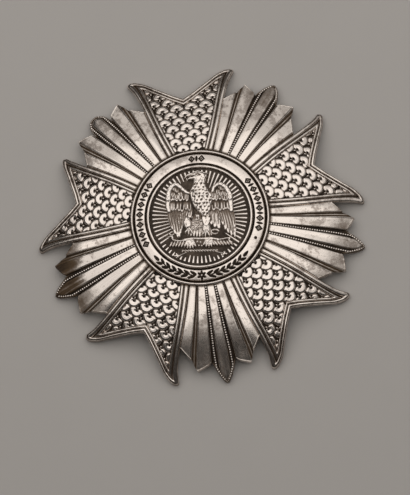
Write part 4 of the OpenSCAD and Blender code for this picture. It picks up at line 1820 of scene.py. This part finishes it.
class Eagle(Relief):
    """The cast eagle on its bundle of thunderbolts."""

    left = Wing(
        grounds=(((-6.3, 6), (2.9, 3.3), 0), ((-5.8, 3.6), (3.4, 3.3), 0), ((-6.4, -1.2), (1.8, 4.7), 17)),
        primaries=(
            ((-3.6, 2.4), (-4.6, -1.6), 0.62, 0.1), ((-4.3, 2.4), (-4.9, -2.8), 0.62, 0.1),
            ((-5, 2.4), (-5.1, -3.9), 0.66, 0.1), ((-5.8, 2.4), (-5.3, -5), 0.66, 0.1),
            ((-6.6, 2.2), (-5.5, -5.9), 0.7, 0), ((-7.4, 2), (-6, -6), 0.72, -0.1),
            ((-8.2, 1.9), (-6.7, -5), 0.74, -0.2), ((-8.8, 1.6), (-7.4, -3.7), 0.7, -0.25),
        ),
        rows=(
            (
                (-3, -3.8, -4.7, -5.6, -6.5, -7.4, -8.1),
                (-2.9, -3.9, -4.9, -5.8, -6.7, -7.6, -8.3),
                *(1.5, 3.4, 0.4, 0.7),
            ),
            ((-3.4, -4.3, -5.2, -6.1, -7, -7.8), (-3.4, -4.4, -5.4, -6.3, -7.1, -7.9), 4.4, 3, 0.5, 0.8),
        ),
        cord=(
            *((-3.1, 6.6), (-4, 7.1), (-5, 8), (-6, 8.9), (-7, 9.1)),
            *((-7.9, 8.5), (-8.5, 7.3), (-8.7, 5.9), (-8.75, 5)),
        ),
        flank=((-8.7, 4.8), (-8.85, 3.2), (-8.5, 1.6)),
        curls=((-7, 7.5, 10), (-6.1, 6.9, -5), (-7.4, 6.2, 10), (-5.3, 6.2, -10), (-6.4, 5.6, 0)),
    )
    right = Wing(
        grounds=(((6, 6), (2.9, 3.3), 0), ((6, 3.6), (3.2, 3.3), 0), ((7.8, -1.6), (2, 4.8), -17)),
        primaries=(
            ((4.4, 2.3), (5.6, -1), 0.62, 0.1), ((5, 2.3), (6.5, -2.6), 0.62, 0.15),
            ((5.7, 2.3), (7.2, -4), 0.66, 0.2), ((6.4, 2.3), (8, -5), 0.7, 0.2),
            ((7.1, 2.2), (8.9, -5.8), 0.72, 0.25), ((7.8, 2), (9.9, -6.2), 0.76, 0.25),
            ((8.5, 1.9), (9.9, -5), 0.72, 0.3), ((9, 1.6), (9.6, -3.4), 0.66, 0.3),
        ),
        rows=(
            ((3.7, 4.6, 5.5, 6.4, 7.2, 7.9), (3.9, 4.8, 5.7, 6.6, 7.4, 8.1), 1.6, 3.3, 0.4, 0.7),
            ((3.8, 4.7, 5.6, 6.5, 7.3, 7.9), (3.9, 4.8, 5.7, 6.6, 7.4, 8), 4.4, 3, 0.5, 0.8),
        ),
        cord=((3.6, 7), (3.9, 8), (4.7, 8.8), (5.7, 9.1), (6.8, 8.6), (7.7, 7.5), (8.3, 6.2), (8.5, 5.1)),
        flank=((8.5, 4.8), (8.7, 3.2), (8.8, 1.6)),
        curls=((5.6, 7.7, 0), (6.6, 7.2, -10), (5, 6.8, 10), (5.9, 6.2, 0), (7.1, 6.2, -10)),
    )
    # The trunk's heights on the picture, and its middle and half width at each
    trunk = (
        (-0.2, 0.6, 1.4, 2.5, 3.8, 5.2, 6.6, 8, 9.2, 10.4, 11.4),
        (1.6, 1.5, 1.2, 0.8, 0.65, 0.55, 0.2, -0.2, -0.1, -0.2, -0.2),
        (0.5, 1.3, 1.8, 2.3, 2.7, 3.05, 2.95, 2.25, 1.75, 1.6, 1.65),
    )

    def wing(self, wing: Wing) -> None:
        """Lays one wing.

        Args:
            wing: Its rows of points.
        """
        for centre, size, turn in wing.grounds:
            self.lump(centre, size, turn, 0.08, 0.3, 1)
        for root, tip, width, bend in wing.primaries:
            self.feather(root, tip, width, 0.28, 0.5, bend, 0.5, 0.88, 0.8)
        rng = np.random.default_rng(SEED + 2)
        for roots, tips, y, length, low, high in wing.rows:
            for x0, x1 in zip(roots, tips):
                tip = (x1 + rng.uniform(-0.16, 0.16), y + rng.uniform(-0.35, 0.25))
                lift = rng.uniform(-0.06, 0.08)
                wide, hollow = rng.uniform(0.85, 1.1), rng.uniform(0.5, 1)
                self.feather((x0, y + length), tip, wide, low, high + lift, 0, 1, 0.72, hollow)
        for x, y, turn in wing.curls:
            right, up = math.sin(math.radians(turn)), math.cos(math.radians(turn))
            root, tip = (x + 1.2 * right, y + 1.2 * up), (x - 0.7 * right, y - 0.7 * up)
            self.feather(root, tip, 0.95, 0.6, 0.85, 0, 1, 0.6, 0.6)
        self.stroke(wing.flank, (0.72, 0.6), 0.85)
        self.stroke(wing.cord, (0.52, 0.82), 0.98)
        for path, size in ((wing.cord, 0.3), (wing.flank, 0.26)):
            for i, (x, y) in enumerate(self.curved(np.array(path, float))[5::2]):
                side = (-1) ** i
                self.pit((x + 0.22 * side, y), (size * 0.4, size), 30.0 * side, 0.08)

    def body(self) -> None:
        """Lays the neck, breast and belly, covered with small feathers."""
        heights, middles, halves = self.trunk
        share = np.abs(self.x - np.interp(self.y, heights, middles)) / np.interp(self.y, heights, halves)
        top = table(self.y, ((-0.2, 0.5), (1.5, 0.85), (6, 1.1), (9, 0.95), (12, 0.85)))
        inside = (share < 1) & (self.y > heights[0]) & (self.y < heights[-1])
        body = np.where(inside, top * (0.35 + 0.65 * arch(share)), 0)
        self.lay(inside, body, smooth(share, 0.88, 1))
        rng = np.random.default_rng(SEED)
        tip_shadows = []
        for row in range(11):
            y = 0.5 + 0.95 * row
            wide = float(np.interp(y, heights, halves)) - 0.1
            centre = float(np.interp(y, heights, middles))
            count = max(2, round(2 * wide / 1.1))
            for i in range(count + 1):
                x = centre - wide + (i + 0.5 * (row % 2)) * 2 * wide / count
                behind_wing = x < centre - 0.7 * wide and 2 < y < 7.4
                if x > centre + wide or behind_wing:
                    continue
                x, dy = x + rng.uniform(-0.16, 0.16), rng.uniform(-0.14, 0.14)
                size = (0.54 + 0.1 * rng.random(), 0.84 + 0.15 * rng.random())
                turn = (x - centre) * 9 + rng.uniform(-16, 16)
                self.plume((x, y + dy), size, turn, body)
                tip_shadows.append((x + rng.uniform(-0.14, 0.14), y + dy - 0.82, turn, 0.2 + 0.16 * rng.random()))
        # Painted shadows under the plumes' tips, each sunk as a shallow pit with a smaller one beside it
        for x, y, turn, size in tip_shadows:
            if y < 10.2:
                turn = turn + rng.uniform(-35, 35)
                self.pit((x, y), (size * 1.15, size * 0.8), turn, 0.34)
                self.pit((x + size * 0.7, y + size * 0.5), (size * 0.5, size * 0.8), turn, 0.3)

    def head(self) -> None:
        """Lays the head in profile with its open beak."""
        # Lower beak, skull, upper beak, brow
        self.stroke(((-1.2, 11.05), (-2.2, 10.95), (-3.1, 10.75)), (0.52, 0.28), 0.85)
        self.lump((-0.1, 11.2), (1.75, 1.6), 0, 0.5, 1)
        self.stroke(((-1, 11.95), (-2.2, 12), (-3.4, 11.7), (-4.1, 11)), (0.62, 0.3), 1)
        brow = ((-1.9, 12.35), (-0.9, 12.75), (0.2, 12.65), (1.2, 12.35), (2.2, 12.15))
        self.stroke(brow, (0.32, 0.26), 1.15)
        # Eye socket, eye, nostril, mouth
        self.pit((-0.45, 11.9), (1.2, 0.4), -6, 0.4)
        self.lump((-0.55, 11.85), (0.3, 0.2), 0, 0.75, 0.9)
        self.pit((-2.5, 11.75), (0.3, 0.1), -10, 0.1)
        self.pit((-2.2, 11.4), (0.6, 0.1), -8, 0.1)
        for x, y in ((0.6, 11.3), (1.1, 10.9), (0.2, 10.7), (-0.8, 10.8), (0.9, 10.2), (-0.2, 10)):
            self.pit((x, y), (0.12, 0.26), 25 * x, 0.12)

    def legs(self) -> None:
        """Lays the tail, thighs and claws."""
        self.lump((0, -2.6), (3.9, 4.4), 0, 0.1, 0.3, 1)
        for i in range(9):
            tip = (-3.3 + 0.83 * i, -6.0 + 0.12 * abs(i - 4))
            self.feather((0.3 + 0.3 * (i - 4), 1.5), tip, 0.62, 0.22, 0.34, 0, 0.9, 0.85, 0.5)
        tips = ((-4.3, -0.8), (-2.8, -0.4), (3.3, -2.4), (4.3, -3.2), (5.4, -3.6))
        for x, tip in zip((-3.4, -2.4, 3.2, 4, 4.8), tips):
            self.feather((x, 2.6), tip, 0.95, 0.2, 0.38, 0, 0.7, 0.85, 0.6)
        tail = (self.y < 0) & (np.abs(self.x - 0.2) < 3.9) & (self.height > 0)
        self.dark = np.where(tail, np.maximum(self.dark, 0.3), self.dark)
        # Thighs and the right shin
        self.lump((1.85, -3.2), (1.15, 1.7), 0, 0.3, 0.7, 0.3)
        self.lump((-3.5, -1.8), (1.2, 2), 14, 0.4, 1.05)
        self.lump((1.85, -0.6), (1.35, 1.4), 0, 0.4, 1)
        self.feather((1.85, 0.5), (1.85, -2.9), 2.4, 0.9, 0.75, 0, 0, 0.25)
        rng = np.random.default_rng(SEED + 1)
        for (x0, y0), tall in (((-3.6, -1.8), 1.5), ((1.85, -1), 1.1)):
            for _ in range(9):
                x, y = x0 + rng.uniform(-0.7, 0.7), y0 + rng.uniform(-tall, tall)
                self.pit((x, y), (0.1, 0.3), rng.uniform(-20, 20), 0.08)
        for _ in range(26):
            x, y = rng.uniform(-2.4, 0.6), rng.uniform(-3.8, 0.4)
            self.lump((x, y), (0.2, 0.42), rng.uniform(-70, 40), 0.35, 0.55, 0.3)
        for x, y in ((-2.8, -3.6), (1.9, -4.3)):
            for dx, dy in ((-1.2, -1.1), (-0.3, -1.5), (0.8, -1.3)):
                self.stroke(((x, y), (x + dx * 0.6, y + dy * 0.4), (x + dx, y + dy)), (0.4, 0.24), 0.7)
        turn = np.linspace(0.3, 5.4, 9)
        curl = np.column_stack([4.3 + 1.05 * np.cos(turn), -4.5 + 0.6 * np.sin(turn)])
        self.stroke(curl, (0.3, 0.22), 0.65)

    def bolts(self) -> None:
        """Lays the thunderbolts with their flames, zigzags and arrowheads."""
        self.lump((0.2, -7.3), (6.6, 1.2), 0, 0.15, 0.4, 0.9)
        shaft = ((-4.6, -6.7), (-2, -6.3), (0.5, -6.4), (3, -6.3), (5.4, -6.7))
        self.stroke(shaft, (0.3, 0.3), 0.5)
        flame = (0.62, 0.45, 0.85, 0, 0.2, 0.5)
        for i in range(6):
            left, right = -8.3 + 0.8 * i, 4.7 + 0.82 * i
            self.feather((left + 0.7, -7.1), (left, -8.7 - 0.05 * i), *flame)
            self.feather((right - 0.6, -7.1), (right + 0.4, -8.6 + 0.03 * i), *flame)
        for centre, depth in ((-2.6, 9.5), (2.6, 9.1)):
            for off in (-2, -1, 0, 1, 2):
                root = (centre + 0.36 * off, -6.5 - 0.1 * abs(off))
                tip = (centre + 0.8 * off, -depth + 0.16 * off * off)
                self.feather(root, tip, 0.66, 0.5, 1, 0, 0.2, 0.6)
        for x, y in ((-0.6, -7.3), (0.3, -7.5), (-0.2, -8.4), (0.6, -8.5)):
            self.lump((x, y), (0.3, 0.42), 30 * x, 0.4, 0.75)
        turn = np.linspace(0.2, 4.4, 6)
        for i in range(13):
            x = -4.6 + 0.78 * i
            curl = np.column_stack([x + 0.26 * np.cos(turn), -9.8 + 0.24 * np.sin(turn)])
            self.stroke(curl, (0.16, 0.12), 0.3)
        # Zigzags, and the two arrows below them
        zigzags = (
            (((-8.5, -4.8), (-7.6, -5.6), (-7.5, -6.5), (-6, -6.9), (-4, -6.9)), (0.28, 0.24), 0.62),
            (((-8.9, -5.9), (-8.1, -5.6), (-7.3, -6.1)), (0.2, 0.2), 0.5),
            (((9, -7.6), (8.1, -6.9), (8.4, -6.3), (7.2, -6.4), (5, -6.8)), (0.22, 0.24), 0.5),
        )
        for path, widths, top in zigzags:
            self.stroke(path, widths, top)
        arrows = (
            (((4.4, -10.1), (6, -10.5), (7.7, -10.9)), (0.16, 0.18), 0.45),
            (((-3.6, -10.2), (-4.8, -10.7), (-6.2, -11)), (0.1, 0.14), 0.38),
        )
        heads = (
            ((7, -10.7), ((7.9, -11), (6.7, -10), (6.2, -11.2))),
            ((-6.2, -11.1), ((-7.5, -11.2), (-6.5, -10.3), (-5.9, -11.8), (-5, -11.3))),
        )
        for (path, widths, top), (root, tips) in zip(arrows, heads):
            self.stroke(path, widths, top)
            for tip in tips:
                self.feather(root, tip, 0.6, 0.5, 0.55, 0, 0, 0.2)

    def build(self, field: MedallionField, metal: Material) -> None:
        """Builds the eagle.

        Args:
            field: The field that it stands on.
            metal: Its material.
        """
        # The dark ground beside the body and the legs, laid first so that it shows between the feathers
        self.lump((-3.3, 3.2), (1.8, 4.6), 0, 0.1, 0.35, 1)
        self.lump((4.2, 3.2), (1.8, 4.6), 0, 0.1, 0.35, 1)
        self.lump((4.3, -2.4), (3.4, 4.4), 0, 0.1, 0.3, 1)
        self.lump((-4.2, -3.2), (2.6, 3.8), 0, 0.1, 0.3, 1)
        self.legs()
        self.wing(self.left)
        self.wing(self.right)
        self.body()
        self.head()
        self.bolts()
        reach = 13.4
        self.height = np.where(np.hypot(self.x, self.y) < reach, self.height, 0)
        made = self.to_part(field.face).to_object("eagle_relief", metal, 180)
        placed(made, Slot.MEDALLION, "medallion")


# Studio


class LampShape(Enum):
    """The outlines of a flat lamp."""

    OBLONG = "RECTANGLE"
    ROUND = "ELLIPSE"


@dataclass(frozen=True)
class Lamp:
    """A flat lamp that faces down. Its place and size are in metres, and its power is in watts."""

    name: str
    shape: LampShape
    place: Triple
    size: Point
    power: float
    colour: Colour = (1.0, 0.97, 0.94)

    def build(self) -> None:
        """Hangs the lamp."""
        data = bpy.data.lights.new(self.name, "AREA")
        data.shape = self.shape.value
        data.size, data.size_y = self.size
        data.energy = self.power
        data.color = self.colour
        made = linked(self.name, data)
        made.visible_camera = False
        made.matrix_world = Matrix.Translation(self.place)


@dataclass
class Studio:
    """The floor, the light and the camera.

    Attributes:
        picture_h: Height of the picture, in pixels.
        per_mm: Pixels of the picture per millimetre.
        distance: Distance of the camera, in metres.
        sensor: Width of the camera's sensor, in millimetres.
        view: Direction from the star to the camera.
        aim: The point of the medallion that the picture is lined up by, on the star's axis.
        aim_px: How far right of it and below it the picture's middle is, in pixels.
        floor_half: Half the width of the floor, in metres.
        floor: The floor's finish.
        glow: Colour of the faint light from all sides.
    """

    picture_h: float = 495.0
    per_mm: float = 3.6085
    distance: float = 3.0
    sensor: float = 36.0
    view: Triple = (0.0695, -0.2458, 0.9668)
    aim: Triple = (0, 0, 9.1)
    aim_px: Point = (4.57, 28.55)
    floor_half: float = 2.0
    floor: PaperFinish = PaperFinish()
    glow: Colour = (0.045, 0.042, 0.039)

    lamps = (
        Lamp("overhead", LampShape.ROUND, (-0.09, 0.19, 0.62), (1.26, 1.0), 1.467),
        Lamp("wide", LampShape.OBLONG, (0.08, 0.435, 0.64), (1.64, 1.37), 2.38),
        Lamp("far", LampShape.OBLONG, (0.08, 0.62, 0.65), (1.64, 1.0), 1.16),
        Lamp("near", LampShape.OBLONG, (0.0, -0.065, 0.65), (0.76, 0.37), 0.2),
    )

    def camera(self) -> None:
        """Places the camera so that a known point of the star falls on its pixel."""
        back = Vector(self.view).normalized()
        right = Vector((back.z, 0.0, -back.x)).normalized()
        up = back.cross(right)
        aside, below = self.aim_px
        aim = Vector(self.aim) + right * (aside / self.per_mm) - up * (below / self.per_mm)
        data = bpy.data.cameras.new("camera")
        data.sensor_width = self.sensor
        data.lens = self.sensor * self.distance / (self.picture_h / self.per_mm * MM)
        data.clip_start, data.clip_end = 0.1, 20.0
        made = linked("camera", data)
        turn = Matrix((right, up, back)).transposed().to_4x4()
        made.matrix_world = Matrix.Translation(aim * MM + back * self.distance) @ turn
        bpy.context.scene.camera = made

    def build(self) -> None:
        """Builds the floor, the lights and the camera."""
        corners = np.array([(-1, -1, 0), (1, -1, 0), (1, 1, 0), (-1, 1, 0)])
        ground = mesh_object("floor", corners * self.floor_half / MM, faces=[(0, 1, 2, 3)])
        ground.data.materials.append(self.floor.material())
        for lamp in self.lamps:
            lamp.build()
        world = bpy.data.worlds.new("studio")
        world.use_nodes = True
        light = world.node_tree.nodes["Background"].inputs
        light["Color"].default_value = (*self.glow, 1.0)
        light["Strength"].default_value = 1.0
        bpy.context.scene.world = world
        bpy.context.scene.view_settings.view_transform = "Standard"
        self.camera()


# The whole star


def dress_pin(metal: Material) -> None:
    """Gives the brooch pin's solid its material.

    Args:
        metal: The material.
    """
    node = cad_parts["brooch_pin"]
    if not node.material_slots:
        node.data.materials.append(metal)
    for slot in node.material_slots:
        slot.material = metal
    log.info("brooch_pin: dressed")


FINISHES = {
    # The star's silver is given a darker colour than the others: painted shade for less light on the plate
    "star": SilverFinish(
        "old_star_silver", (0.845, 0.77, 0.705), gloss=0.12, cloud=0.62, streaks=0.1, relief=0.000007
    ),
    "rubbed": SilverFinish("rubbed_star_silver", (0.865, 0.785, 0.72), gloss=0.14, spots=0.2, streaks=0.05),
    "ring": SilverFinish("old_ring_silver", (0.86, 0.78, 0.715), cloud=0.5),
    "cast": SilverFinish(
        "old_cast_silver", patina=(0.22, 0.165, 0.125), soot=(0.035, 0.024, 0.016), gloss=0.24
    ),
    "pin": SilverFinish(Slot.PIN.value, gloss=0.3, cloud=0.3),
}


def main() -> None:
    """Builds every piece in order."""
    logging.basicConfig(level=logging.INFO, format="%(message)s")
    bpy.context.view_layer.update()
    dome, effects, repeats = Dome(), Effects(), Repeats()
    metals = {name: finish.material(effects) for name, finish in FINISHES.items()}
    plate = StarPlate(dome)
    plate.build(metals["star"])
    ScaleWork(plate).build(repeats, metals["rubbed"])
    BeadWork(plate).build(repeats, metals["rubbed"])
    BezelRing(dome).build(metals["ring"])
    field = MedallionField(dome)
    field.build(repeats, metals["cast"])
    eagle = Eagle(low=(-10.6, -12.6), high=(11.0, 13.4), step=0.08)
    eagle.build(field, metals["cast"])
    dress_pin(metals["pin"])
    Studio().build()


if __name__ == "__main__":
    main()
